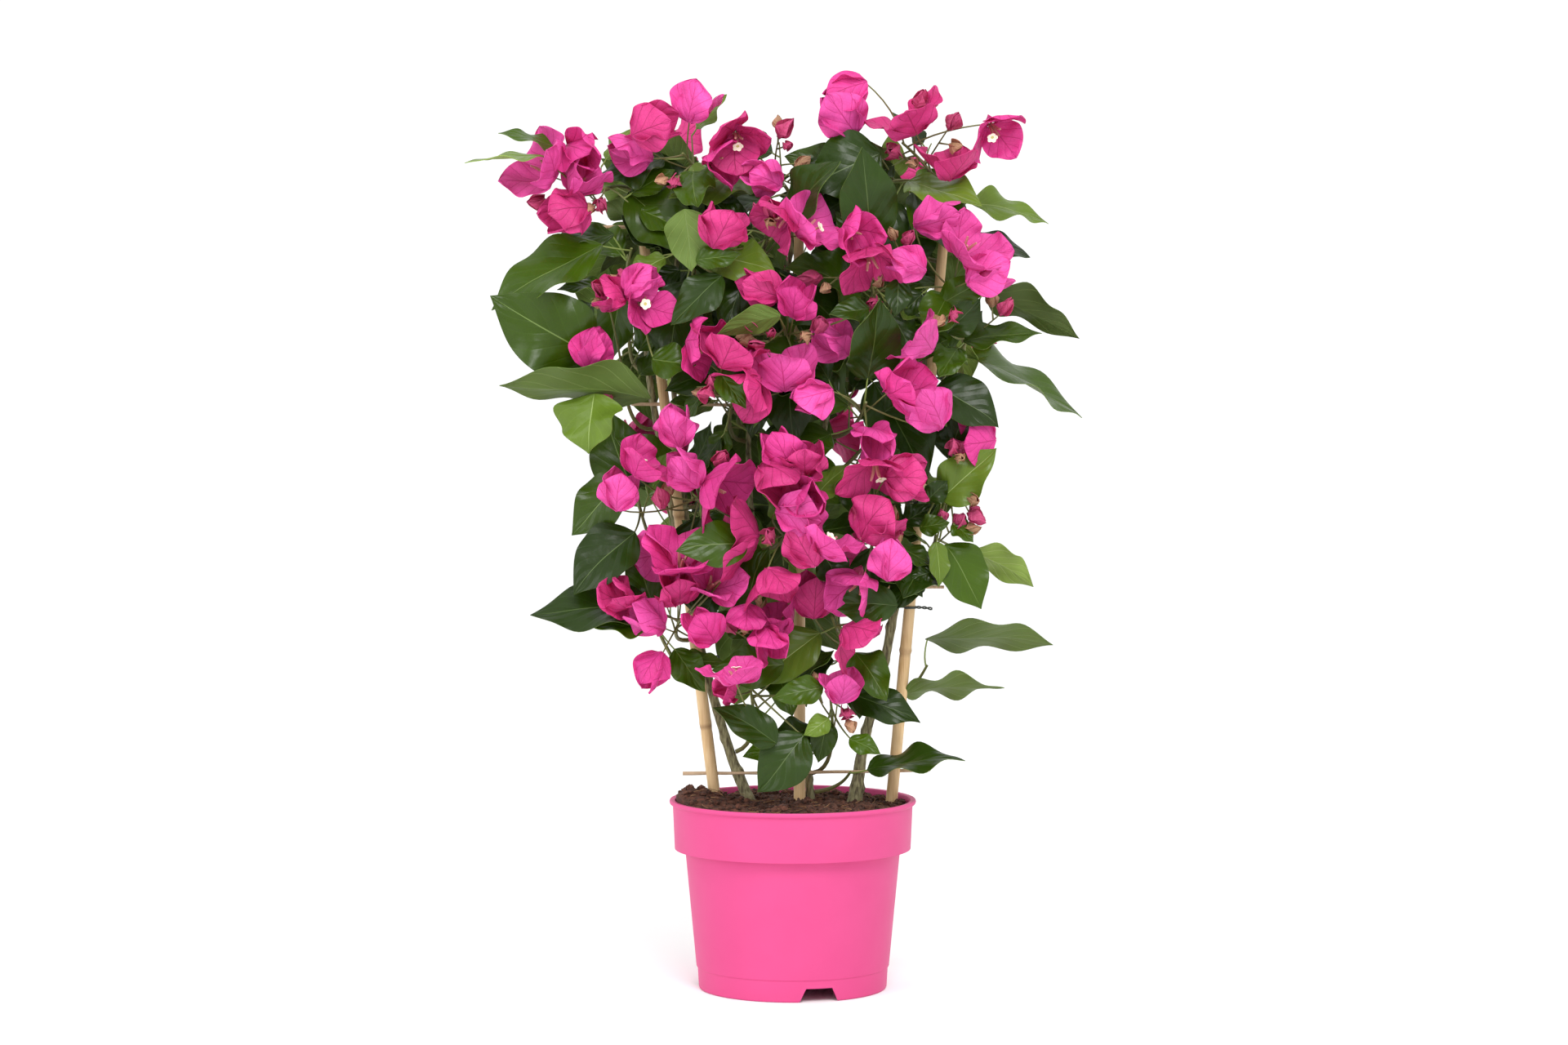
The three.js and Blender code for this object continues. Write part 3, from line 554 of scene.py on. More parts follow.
@dataclass(frozen=True)
class Bark(Finish):
    """Young bougainvillea bark: grey-olive skin that cracks into buff ridges, with small pale pores."""

    name: str = "young_corky_bark"
    skin: str = "#8d8864"
    crack: str = "#564c38"
    pore: str = "#b3a98a"
    ridge: float = 1.5
    drawn_out: float = 0.22

    def surface(self, nodes: Nodes) -> Socket:
        """Ridged bark, its cracks darker and its pores paler."""
        ridges = nodes.noise(nodes.place((1, 1, self.drawn_out)), self.ridge, 5.0)
        colour = nodes.ramp(ridges, (0.34, self.crack), (0.55, self.skin), (0.78, self.pore))
        return nodes.skin(colour, 0.8, Normal=nodes.bump(ridges, 0.6, 0.5))


@dataclass(frozen=True)
class GreenWood(Finish):
    """Shoots of the year: green where they are youngest, brown where they have begun to ripen."""

    name: str = "ripening_green_wood"
    ripe: str = "#5f4a33"
    green: str = "#7f9347"
    mottle: float = 5

    def surface(self, nodes: Nodes) -> Socket:
        """Skin whose colour follows the age dealt to each twig."""
        mixed = nodes.sum("MULTIPLY_ADD", nodes.noise(nodes.place(), self.mottle, 3.0), 0.5, nodes.dealt())
        tint = nodes.ramp(nodes.spread(mixed, top=1.5), (0.1, self.ripe), (0.8, self.green))
        return nodes.skin(tint, 0.6)


@dataclass(frozen=True)
class Blade(Finish):
    """A leaf's or a bract's skin with a midrib and arched side veins pressed into it."""

    colour: str = "#41601d"
    vein: str = "#5c7b33"
    roughness: float = 0.36
    pairs: float = 5.0  # side veins in each half
    slant: float = 0.42  # how far a side vein climbs on its way to the margin
    thin: float = 0.07  # width of a side vein, as a share of the space between two
    rib: float = 0.018  # half width of the midrib's line, as a share of the blade's width
    sunk: float = 0.05  # how strongly the veins are pressed in
    quilt: float = 0.8  # how far the skin swells between two side veins
    net: float = 0.0  # strength of the fine net between the side veins
    mesh: float = 2.6  # size of that net's cells
    through: float = 0.12  # share of the light that passes the blade
    glow: str = "#6f8f1c"  # what the light that passes it turns to
    lightest: float = 1.22
    darkest: float = 0.78
    mottle: float = 14  # size of the patches in which its colour wavers

    def surface(self, nodes: Nodes) -> Socket:
        """Skin with veins, in the shade dealt to each blade, lit through from behind."""
        spread = nodes.add("UVMap", "UV", uv_map=Spray.BLADE_MAP)
        parts = add_node(nodes.tree, "ShaderNodeSeparateXYZ", {"Vector": spread})
        aside = nodes.sum("ABSOLUTE", nodes.sum("SUBTRACT", parts.outputs["X"], 0.5))
        bowed = nodes.sum("POWER", aside, 0.8)
        climb = nodes.sum("MULTIPLY_ADD", bowed, -1.8 * self.slant, parts.outputs["Y"])
        saw = nodes.sum("PINGPONG", nodes.sum("MULTIPLY", climb, self.pairs), 0.5)
        side_vein = nodes.spread(saw, 1.0, 0.0, self.thin, "SMOOTHSTEP")
        rib = nodes.spread(aside, 1.0, 0.0, self.rib, "SMOOTHSTEP")
        place = nodes.place()
        net = nodes.spread(nodes.cells(place, self.mesh, "DISTANCE_TO_EDGE"), self.net, 0.0, 0.12)
        drawn = nodes.sum("MAXIMUM", nodes.sum("MAXIMUM", side_vein, rib), net)
        mottle = nodes.noise(place, self.mottle, 3.0)
        shade = nodes.spread(nodes.dealt(), self.darkest, self.lightest)
        bright = nodes.sum("MULTIPLY", shade, nodes.spread(mottle, 0.84, 1.16))
        tinted = nodes.mix(drawn, self.colour, self.vein)
        colour = nodes.add("VectorMath", "Vector", {SCALED: tinted, SCALED_BY: bright}, operation="SCALE")
        swell = nodes.sum("MULTIPLY_ADD", saw, self.quilt, mottle)
        raised = nodes.sum("MULTIPLY_ADD", drawn, -self.sunk, swell)
        normal = nodes.bump(raised, 0.5, 1.3)
        skin = nodes.skin(colour, self.roughness, Normal=normal, IOR=1.42, Specular_IOR_Level=0.35)
        glow = nodes.add("BsdfTranslucent", "BSDF", {"Color": self.glow})
        return nodes.add("MixShader", "Shader", {0: self.through, 1: skin, 2: glow})


@dataclass(frozen=True)
class Plain(Finish):
    """A small part's skin: one colour that wavers a little from spot to spot."""

    colour: str = "#ffffff"
    other: str = "#ffffff"
    roughness: float = 0.5
    spot: float = 4.0
    rough: float = 0.2  # how far the skin's own grain stands out

    def surface(self, nodes: Nodes) -> Socket:
        """Skin between two near colours, with a slight grain."""
        waver = nodes.noise(nodes.place(), self.spot, 4.0)
        colour = nodes.mix(waver, self.colour, self.other)
        return nodes.skin(colour, self.roughness, Normal=nodes.bump(waver, self.rough, 0.3))


class LeafTone(Enum):
    """How old a leaf is, which sets its green."""

    DEEP = "deep"
    FULL = "full"
    YOUNG = "young"

    @property
    def finishes(self) -> tuple[Finish, ...]:
        """The waxy upper side, the dull, paler underside with its veins standing out, and the midrib."""
        upper, vein, under, under_vein, rib = {
            LeafTone.DEEP: ("#243806", "#273c09", "#50622a", "#66783a", "#43581e"),
            LeafTone.FULL: ("#385006", "#3b5409", "#5f7533", "#768b46", "#5a702c"),
            LeafTone.YOUNG: ("#607826", "#667e2c", "#7b9142", "#92a65c", "#889c54"),
        }[self]
        return (
            Blade(f"waxy_leaf_{self.value}", upper, vein, roughness=0.3),
            Blade(f"dull_leaf_back_{self.value}", under, under_vein, roughness=0.55, sunk=-0.5),
            Plain(f"leaf_rib_{self.value}", rib, rib, 0.45),
        )


class BractTone(Enum):
    """How far a bract's colour has opened."""

    BRIGHT = "bright"
    FULL = "full"
    DUSKY = "dusky"
    SHUT = "shut"
    PALE = "pale"

    @property
    def paper(self) -> Blade:
        """Papery bract skin, thin enough to glow, under a net of darker veins."""
        colour, vein = {
            BractTone.BRIGHT: ("#f25ab4", "#c6327c"),
            BractTone.FULL: ("#ea48a1", "#b4286c"),
            BractTone.DUSKY: ("#de428e", "#9e2658"),
            BractTone.SHUT: ("#d9568a", "#b8506c"),
            BractTone.PALE: ("#cfa283", "#a39a58"),
        }[self]
        return Blade(
            f"papery_bract_{self.value}", colour, vein, roughness=0.55, pairs=4.0, slant=0.5, thin=0.05,
            sunk=0.16, net=0.25, through=0.3, glow="#d81c5e", lightest=1.05, darkest=0.84,
        )


POT_SKIN = MouldedPolypropylene()
PEAT = Peat()
CULM = DriedCulm()
SPLIT_CULM = DriedCulm("split_bamboo_stick", "#d2b596", "#a98a66", "#8a6740", 0.7, 0.45, 0.4)
BARK = Bark()
GREEN_WOOD = GreenWood()
FIBRE = Plain("dry_peat_fibre", "#9a7550", "#6d4c33", 0.9)
STAR = Plain("cream_flower", "#fbf6e4", "#f3ead0", 0.5)
TUBE = Plain("flower_tube", "#c76a86", "#a98a5c", 0.55)
THROAT = Plain("flower_throat", "#d6cb86", "#b9b264", 0.6)
TIE_PAPER = Plain("paper_covered_wire", "#3f4440", "#555a52", 0.7, 1.2, 0.6)

# ---- shapes --------------------------------------------------------------------------------------


@dataclass(frozen=True)
class Shape:
    """A small closed mesh in coordinates of its own, to be bent and copied many times."""

    spots: np.ndarray
    corners: np.ndarray
    starts: np.ndarray
    zones: np.ndarray


def shape_of(bm: bmesh.types.BMesh, zone: Callable[[bmesh.types.BMFace], int]) -> Shape:
    """Reads a bmesh into a shape and frees it.

    Args:
        bm: The bmesh.
        zone: Gives the finish number of a face.

    Returns:
        The shape.
    """
    bmesh.ops.recalc_face_normals(bm, faces=bm.faces[:])
    bm.normal_update()
    bm.verts.index_update()
    rows = [[v.index for v in face.verts] for face in bm.faces]
    starts = np.cumsum([0] + [len(row) for row in rows[:-1]])
    shape = Shape(
        np.array([v.co for v in bm.verts], float),
        np.array([i for row in rows for i in row], int),
        starts,
        np.array([zone(face) for face in bm.faces], int),
    )
    bm.free()
    return shape


def blade_shape(columns: Sequence[float], rows: int) -> Shape:
    """A blade's closed skin: x from -1 to 1 across, y from 0 to 1 along, z 1 on top and 0 below.

    Args:
        columns: Where its columns of corners lie across, with the midrib's two beside 0.
        rows: How many faces it has along.

    Returns:
        The shape, whose zones are 0 on top, 1 below and 2 on the midrib.
    """
    bm = bmesh.new()
    count = len(columns) - 1
    bmesh.ops.create_grid(bm, x_segments=count, y_segments=rows, size=1.0)
    for v in bm.verts:
        column = round((v.co.x + 1) / 2 * count)
        v.co = (columns[column], (v.co.y + 1) / 2, 1.0)
    bmesh.ops.solidify(bm, geom=bm.faces[:], thickness=1.0)
    low = min(v.co.z for v in bm.verts)
    for v in bm.verts:
        v.co.z -= low

    def zone(face: bmesh.types.BMFace) -> int:
        """Top, underside or midrib."""
        if abs(face.normal.z) > 0.5 and abs(face.calc_center_median().x) < 0.01:
            return 2
        return 0 if face.normal.z > 0.5 else 1

    return shape_of(bm, zone)


def ringed_bar(sides: int, rings: int) -> bmesh.types.BMesh:
    """A closed bar: x and y on the unit circle, z from -0.5 to 0.5 along it in even rings."""
    bm = bmesh.new()
    bmesh.ops.create_cone(bm, cap_ends=True, segments=sides, radius1=1, radius2=1, depth=1)
    upright = [e for e in bm.edges if abs(e.verts[0].co.z - e.verts[1].co.z) > 0.5]
    bmesh.ops.subdivide_edges(bm, edges=upright, cuts=rings - 1)
    return bm


def tube_shape(sides: int, rings: int) -> Shape:
    """A closed tube: x and y on the unit circle, z from 0 to 1 along it in even rings."""
    bm = ringed_bar(sides, rings)
    bmesh.ops.translate(bm, vec=(0, 0, 0.5), verts=bm.verts[:])
    return shape_of(bm, lambda face: 0)


def lump_shape() -> Shape:
    """An angular crumb."""
    bm = bmesh.new()
    bmesh.ops.create_icosphere(bm, subdivisions=1, radius=1)
    return shape_of(bm, lambda face: 0)


def star_shape() -> Shape:
    """A flat flower of five round lobes, z from 0 to 1, whose throat is zone 2."""
    bm = bmesh.new()
    bmesh.ops.create_circle(bm, cap_ends=True, segments=30, radius=1)
    bmesh.ops.inset_region(bm, faces=bm.faces[:], thickness=0.7, use_boundary=True)
    for v in bm.verts:
        if v.co.length > 0.5:
            v.co *= 0.68 + 0.32 * abs(math.sin(2.5 * math.atan2(v.co.y, v.co.x))) ** 0.6
    bmesh.ops.solidify(bm, geom=bm.faces[:], thickness=1.0)
    low = min(v.co.z for v in bm.verts)
    bmesh.ops.translate(bm, vec=(0, 0, -low), verts=bm.verts[:])

    def zone(face: bmesh.types.BMFace) -> int:
        """Throat or lobes."""
        return 2 if face.calc_center_median().xy.length < 0.05 and face.normal.z > 0 else 0

    return shape_of(bm, zone)


class Spray:
    """Many small copies gathered into one mesh of one kind."""

    BLADE_MAP = "blade"
    SHADE = "shade"

    def __init__(self, name: str, slot: str, *finishes: Finish) -> None:
        """Starts an empty spray under a piece name, a material slot and its finishes."""
        self.name = name
        self.slot = slot
        self.finishes = finishes
        self.nodes: set[str] = set()
        self.parts: list[tuple[Shape, np.ndarray, np.ndarray, int]] = []

    def add(self, shape: Shape, points: np.ndarray, shade: float | np.ndarray = 0.5, zone: int = 0) -> None:
        """Adds one copy.

        Args:
            shape: The shape that was bent.
            points: Its corners' places in millimetres.
            shade: The number dealt to the copy, or to each of its corners.
            zone: What is added to the shape's own zones.
        """
        self.parts.append((shape, points, np.broadcast_to(shade, len(points)), zone))

    def build(self, smooth: bool = True) -> bpy.types.Object:
        """Joins the copies into the finished piece.

        Args:
            smooth: Whether the faces are shaded smooth, with creases kept.

        Returns:
            The piece, riding on the body and in place of its shoots' solids.
        """
        first_corner = np.cumsum([0] + [len(p) for _, p, _, _ in self.parts])
        first_loop = np.cumsum([0] + [len(s.corners) for s, _, _, _ in self.parts])
        shapes = [s for s, _, _, _ in self.parts]
        corners = np.concatenate([s.corners + first_corner[i] for i, s in enumerate(shapes)])
        starts = np.concatenate([s.starts + first_loop[i] for i, s in enumerate(shapes)])
        zones = np.concatenate([s.zones + zone for s, _, _, zone in self.parts])
        flat = np.concatenate([s.spots[s.corners][:, :2] for s in shapes])
        mesh = bpy.data.meshes.new(self.name)
        mesh.vertices.add(int(first_corner[-1]))
        places = np.concatenate([p for _, p, _, _ in self.parts]) * MM
        mesh.vertices.foreach_set("co", places.astype(np.float32).ravel())
        mesh.loops.add(len(corners))
        mesh.loops.foreach_set("vertex_index", corners.astype(np.int32))
        mesh.polygons.add(len(starts))
        mesh.polygons.foreach_set("loop_start", starts.astype(np.int32))
        mesh.polygons.foreach_set("material_index", zones.astype(np.int32))
        mesh.polygons.foreach_set("use_smooth", np.full(len(starts), smooth))
        mesh.update(calc_edges=True)
        spread = mesh.uv_layers.new(name=self.BLADE_MAP)
        laid = np.column_stack([(flat[:, 0] + 1) / 2, flat[:, 1]])
        spread.data.foreach_set("uv", laid.astype(np.float32).ravel())
        deal(mesh, np.concatenate([s for _, _, s, _ in self.parts]))
        if smooth:
            mesh.set_sharp_from_angle(angle=math.radians(50))
        return settle(mesh, self.slot, self.finishes, sorted(self.nodes))


def deal(mesh: bpy.types.Mesh, shades: Sequence[float]) -> None:
    """Gives each corner of a mesh its number for the finish to read."""
    dealt = mesh.attributes.new(Spray.SHADE, "FLOAT", "POINT")
    dealt.data.foreach_set("value", np.array(shades, np.float32))


def put(name: str, data: bpy.types.ID) -> bpy.types.Object:
    """Makes an object that shows a mesh, a lamp or a camera, and links it to the scene."""
    made = bpy.data.objects.new(name, data)
    bpy.context.scene.collection.objects.link(made)
    return made


def settle(
    mesh: bpy.types.Mesh, slot: str, finishes: Sequence[Finish], nodes: Sequence[str]
) -> bpy.types.Object:
    """Makes a finished mesh a piece of the plant.

    Args:
        mesh: The mesh, in metres in the frame; its name is the piece's.
        slot: The name of a material slot; it is not used.
        finishes: The finishes in the order of the mesh's face numbers.
        nodes: The CAD nodes that the piece stands for.

    Returns:
        The piece.
    """
    for finish in finishes:
        mesh.materials.append(finish.material())
    piece = put(mesh.name, mesh)
    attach(piece, "root")
    if nodes:
        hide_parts(*nodes)
    log.info("%s: %d faces, for %d nodes", mesh.name, len(mesh.polygons), len(nodes))
    return piece


def mesh_from(bm: bmesh.types.BMesh, name: str, crease: float = 40) -> bpy.types.Mesh:
    """Turns a bmesh in millimetres into a smooth-shaded mesh in metres.

    Args:
        bm: The bmesh, which is freed.
        name: The mesh's name.
        crease: The angle in degrees from which an edge stays sharp.

    Returns:
        The mesh.
    """
    bmesh.ops.scale(bm, vec=(MM, MM, MM), verts=bm.verts[:])
    for face in bm.faces:
        face.smooth = True
    mesh = bpy.data.meshes.new(name)
    bm.to_mesh(mesh)
    bm.free()
    mesh.set_sharp_from_angle(angle=math.radians(crease))
    return mesh


def turn_profile(profile: Sequence[tuple[float, float]], steps: int) -> bmesh.types.BMesh:
    """Turns a profile of radius and height about the upright axis into a closed skin.

    Args:
        profile: The outline from the axis back to the axis, or closed on itself.
        steps: How many faces there are round.

    Returns:
        The bmesh in millimetres, facing out.
    """
    bm = bmesh.new()
    verts = [bm.verts.new((radius, 0, height)) for radius, height in profile]
    edges = [bm.edges.new(pair) for pair in zip(verts, verts[1:])]
    bmesh.ops.spin(
        bm, geom=verts + edges, cent=(0, 0, 0), axis=(0, 0, 1), dvec=(0, 0, 0),
        angle=2 * math.pi, steps=steps, use_merge=True,
    )
    bmesh.ops.remove_doubles(bm, verts=bm.verts[:], dist=0.002)
    bmesh.ops.dissolve_degenerate(bm, dist=0.001, edges=bm.edges[:])
    bmesh.ops.recalc_face_normals(bm, faces=bm.faces[:])
    return bm


def along_path(
    shape: Shape, path: Path, radius: Callable[[np.ndarray], np.ndarray], beside: Vec | None = None
) -> np.ndarray:
    """Bends a tube shape along a path.

    Args:
        shape: A tube shape.
        path: The path.
        radius: Gives the radius at each share of the way.
        beside: A direction that the tube's own x keeps near to.

    Returns:
        The corners' places.
    """
    shares = np.unique(np.round(shape.spots[:, 2], 6))
    middles = np.array([path.point(s) for s in shares])
    ways = np.array([path.tangent(s) for s in shares])
    first = np.zeros_like(ways)
    guide = beside if beside is not None else (UP if abs(ways[0][2]) < 0.9 else vec(1, 0, 0))
    for i, way in enumerate(ways):
        guide = square(guide, way)
        first[i] = guide
    second = np.cross(ways, first)
    ring = np.searchsorted(shares, np.round(shape.spots[:, 2], 6))
    wide = radius(shares)[ring][:, None]
    across = first[ring] * shape.spots[:, :1] + second[ring] * shape.spots[:, 1:2]
    return middles[ring] + across * wide


# ---- pot and soil --------------------------------------------------------------------------------


@dataclass
class Pot:
    """The moulded pot: a tapered wall under a deep collar band, on a notched foot ring."""

    height: float = 130
    rim: float = 85
    lip: float = 2
    band: float = 96
    band_top: float = 82.6
    band_foot: float = 81.3
    shoulder: float = 74.1
    foot: float = 64.4
    wall: float = 1.5
    plate: float = 10
    notches: int = 3
    notch_turn: float = 16
    notch_foot: float = 28
    notch_head: float = 18.6
    notch_high: float = 9.2
    drains: int = 6
    drain_radius: float = 4.5
    drain_ring: float = 40
    round_off: float = 0.7
    steps: int = 128

    def profile(self) -> list[tuple[float, float]]:
        """The wall's outline from the axis under the floor plate round to the axis above it."""
        wall, lip = self.wall, self.lip
        return [
            (0, self.plate), (self.foot - 1.9, self.plate), (self.foot - wall, 0.0), (self.foot - 0.2, 0.0),
            (self.foot + 0.4, 1.2), (self.foot + 1.2, 14.6), (self.foot + 2.0, 15.0),
            (self.shoulder, self.band), (self.band_foot, self.band), (self.band_top, self.height - 2 * lip),
            (self.rim - 0.5, self.height - 1.4 * lip), (self.rim, self.height - 0.7 * lip),
            (self.rim - 0.5, self.height), (self.band_top - wall, self.height - 0.3),
            (self.band_top - wall - 0.4, self.height - 4), (self.band_foot - wall, self.band + wall),
            (self.shoulder - wall, self.band - wall), (self.foot - wall + 0.9, self.plate + wall + 2),
            (self.foot - wall - 2, self.plate + wall), (0, self.plate + wall),
        ]

    def cutters(self) -> bpy.types.Object:
        """The wedges of the foot notches and the drain holes, as one hidden object."""
        bm = bmesh.new()
        for i in range(self.notches):
            made = bmesh.ops.create_cube(bm, size=1)["verts"]
            for v in made:
                wide = self.notch_foot if v.co.z < 0 else self.notch_head
                high = -1.0 if v.co.z < 0 else self.notch_high
                v.co = (v.co.x * wide, v.co.y * 16 - self.foot, high)
            turn = math.radians(self.notch_turn + i * 360 / self.notches)
            bmesh.ops.rotate(bm, cent=(0, 0, 0), matrix=Matrix.Rotation(turn, 3, "Z"), verts=made)
        for i in range(self.drains):
            angle = (i + 0.5) * 2 * math.pi / self.drains
            spot = Matrix.Translation(
                (math.cos(angle) * self.drain_ring, math.sin(angle) * self.drain_ring, self.plate)
            )
            bmesh.ops.create_cone(
                bm, cap_ends=True, segments=28, radius1=self.drain_radius, radius2=self.drain_radius,
                depth=8, matrix=spot,
            )
        return put("notch_cutter", mesh_from(bm, "notch_cutter"))

    def build(self) -> bpy.types.Object:
        """Turns the wall, rounds its edges, cuts the notches and holes, and dresses it."""
        bm = turn_profile(self.profile(), self.steps)
        sharp = [e for e in bm.edges if e.is_manifold and e.calc_face_angle() > math.radians(24)]
        bmesh.ops.bevel(
            bm, geom=sharp, offset=self.round_off * 0.5, offset_type="OFFSET", segments=2, profile=0.5,
            affect="EDGES", material=-1, clamp_overlap=True,
        )
        body = put("pot_blank", mesh_from(bm, "pot_blank", 35))
        cutter = self.cutters()
        cut = body.modifiers.new("notches", "BOOLEAN")
        cut.operation = "DIFFERENCE"
        cut.solver = "EXACT"
        cut.object = cutter
        evaluated = body.evaluated_get(bpy.context.evaluated_depsgraph_get())
        mesh = bpy.data.meshes.new_from_object(evaluated)
        mesh.name = "pot_body"
        mesh.materials.clear()
        mesh.set_sharp_from_angle(angle=math.radians(35))
        bpy.data.objects.remove(body)
        bpy.data.objects.remove(cutter)
        return settle(mesh, "pot_plastic", [POT_SKIN], ["pot"])


@dataclass
class PeatBed:
    """The peat in the pot: a crumbled top with loose lumps and fibres on it."""

    pot: Pot
    top: float = 125.5
    heap: float = 2.4
    relief: float = 5.4
    lumps: int = 950
    fibres: int = 130
    bank_side: float = -66  # where peat is banked up against the rim, across
    bank_front: float = -12  # and from front to back
    bank: float = 12
    bank_spread: float = 620  # how widely the bank runs out, as a squared length

    def height_at(self, x: float, y: float) -> float:
        """Height of the peat's skin at a place."""
        far = math.hypot(x, y) / self.pot.band_top
        off = (x - self.bank_side) ** 2 + (y - self.bank_front) ** 2
        banked = self.bank * math.exp(-off / self.bank_spread)
        rough = noise.fractal(Vector((x / 13, y / 13, 3.1)), 0.9, 2.1, 4)
        return self.top + self.heap * (1 - far) + banked + rough * self.relief * (1 - far ** 6)

    def bed(self) -> bpy.types.Object:
        """The peat's body: its rough top, and its side down inside the wall."""
        pot = self.pot
        edge = pot.band_top - pot.wall - 0.7
        count = 34
        rough_top = [(edge * (1 - i / count), self.top) for i in range(count + 1)]
        inside = [
            (0, pot.plate + pot.wall + CLEAR), (pot.foot - pot.wall - 2.4, pot.plate + pot.wall + CLEAR),
            (pot.shoulder - pot.wall - 0.5, pot.band - pot.wall), (edge - 2.6, pot.band + pot.wall + CLEAR),
            (edge - 0.8, pot.height - 9),
        ]
        bm = turn_profile([*inside, *rough_top], 132)
        for v in bm.verts:
            if v.co.z > self.top - 0.5:
                v.co.z = self.height_at(v.co.x, v.co.y)
        return settle(mesh_from(bm, "peat_bed", 60), "peat", [PEAT], ["soil"])

    def crumbs(self) -> bpy.types.Object:
        """Loose lumps and dry fibres that lie on the peat."""
        spray = Spray("peat_crumbs", "peat", PEAT, FIBRE)
        lump, thread = lump_shape(), tube_shape(4, 5)
        dice = Dice(91)
        reach = self.pot.band_top - self.pot.wall - 3.5
        for i in range(self.lumps):
            x, y = dice.spot_within(reach)
            size = dice.between(0.7, 2.6) * (1.25 if i % 9 == 0 else 1)
            spot = vec(x, y, self.height_at(x, y) + size * 0.25)
            knob = np.array([1 + 0.5 * (dice() - 0.5) for _ in lump.spots])
            squash = vec(dice.between(0.8, 1.4), dice.between(0.8, 1.4), dice.between(0.6, 1.0))
            spray.add(lump, spot + lump.spots * knob[:, None] * squash * size)
        for _ in range(self.fibres):
            x, y = dice.spot_within(reach)
            lean = dice() * 2 * math.pi
            span = vec(math.cos(lean), math.sin(lean), dice.between(-0.1, 0.35)) * dice.between(5, 15)
            start = vec(x, y, self.height_at(x, y) + 0.8)
            end = start + span
            if math.hypot(end[0], end[1]) > reach:
                continue
            path = bend(start, (start + end) / 2 + vec(span[1], -span[0], 2.5) * 0.25, end)
            thin = dice.between(0.18, 0.42)
            spray.add(thread, along_path(thread, path, lambda s, r=thin: r * (1 - 0.6 * s)), zone=1)
        return spray.build(smooth=False)


# ---- rack ----------------------------------------------------------------------------------------


@dataclass
class Cane:
    """One bamboo cane with ridged joints and a hollow sawn top."""

    name: str
    size: CaneSize
    joint_high: float = 2.0
    joint_out: float = 0.55
    bore: float = 0.55
    dug: float = 9.0  # how deep its hollow top is
    sides: int = 24
    step: float = 2.5

    def middle(self, height: float) -> Vec:
        """The cane's middle at a height."""
        (x0, z0), (x1, z1) = self.size.low, self.size.high
        return vec(x0 + (x1 - x0) * (height - z0) / (z1 - z0), CANE_Y, height)

    def radius(self, height: float) -> float:
        """The cane's radius between its joints at a height."""
        low, high = self.size.low[1], self.size.high[1]
        return CANE_FOOT + (CANE_TOP - CANE_FOOT) * (height - low) / (high - low)

    def swell(self, height: float) -> tuple[float, float]:
        """How far a joint stands out at a height, and how brown it makes the skin there."""
        out, brown = 0.0, 0.0
        for ring in self.size.rings:
            above = height - ring
            out += self.joint_out * math.exp(-((above / (self.joint_high * 0.55)) ** 2))
            out -= 0.4 * self.joint_out * math.exp(-(((above + 3.4) / 1.6) ** 2))
            out += 0.2 * self.joint_out * math.exp(-((above / 11) ** 2))
            brown += 0.62 * math.exp(-(((above + 1.6) / 1.5) ** 2)) + 0.16 * math.exp(-((above / 9) ** 2))
        return out, min(brown, 1.0)

    def build(self) -> bpy.types.Object:
        """Bends a fine tube to the cane, hollows its top with painted shade in it and dresses it."""
        low, high = self.size.low[1], self.size.high[1]
        bm = ringed_bar(self.sides, int((high - low) / self.step) + 1)
        cap = max(bm.faces, key=lambda face: face.calc_center_median().z)
        bmesh.ops.inset_region(bm, faces=[cap], thickness=1 - self.bore, depth=0)
        dug = bmesh.ops.extrude_discrete_faces(bm, faces=[cap])["faces"][0]
        lean = Vector((self.size.high[0] - self.size.low[0], 0, high - low)).normalized()
        upright_to_lean = Vector((0, 0, 1)).rotation_difference(lean)
        floor = set(dug.verts)
        brown = {}
        for v in bm.verts:
            height = low + (v.co.z + 0.5) * (high - low)
            out, tint = self.swell(height)
            waver = 0.05 * noise.noise(Vector((v.co.x * 2, v.co.y * 2, height / 30)))
            aside = Vector((v.co.x, v.co.y, 0)) * (self.radius(height) * (1 + waver) + out)
            drop = self.dug if v in floor else 0.0
            v.co = Vector(self.middle(height - drop)) + upright_to_lean @ aside
            # the floor of the hollow top, and the inner wall down to it, are darkened in full as painted
            # shade
            brown[v] = 1.0 if v in floor else tint
        joint_brown_and_hollow_shade = [brown[v] for v in bm.verts]
        mesh = mesh_from(bm, f"bamboo_{self.name}", 50)
        deal(mesh, joint_brown_and_hollow_shade)
        return settle(mesh, "bamboo", [CULM], [self.name])


@dataclass
class SplitBar:
    """One thin stick split from a cane, a little bowed and rough, through the canes."""

    name: str
    low: tuple[float, float]
    high: tuple[float, float]
    wide: float = 1.15
    flat: float = 0.72
    seed: int = 1

    def build(self) -> bpy.types.Object:
        """Bends a flat tube between the stick's ends and dresses it."""
        shape = tube_shape(8, 40)
        start, end = vec(self.low[0], CANE_Y, self.low[1]), vec(self.high[0], CANE_Y, self.high[1])
        bow = vec(0, 0, 1.2 if self.seed % 2 else -0.9)
        path = bend(start, (start + end) / 2 + bow, end)
        points = along_path(shape, path, lambda s: np.full(len(s), self.wide), UP)
        points[:, 1] = CANE_Y + (points[:, 1] - CANE_Y) * self.flat
        drift = [noise.noise(Vector((p[0] / 17, self.seed * 3.7, p[2] / 3))) for p in points]
        points[:, 2] += 0.35 * np.array(drift)
        spray = Spray(f"split_{self.name}", "split_bamboo", SPLIT_CULM)
        spray.add(shape, points, 0.12)
        spray.nodes.add(self.name)
        return spray.build()


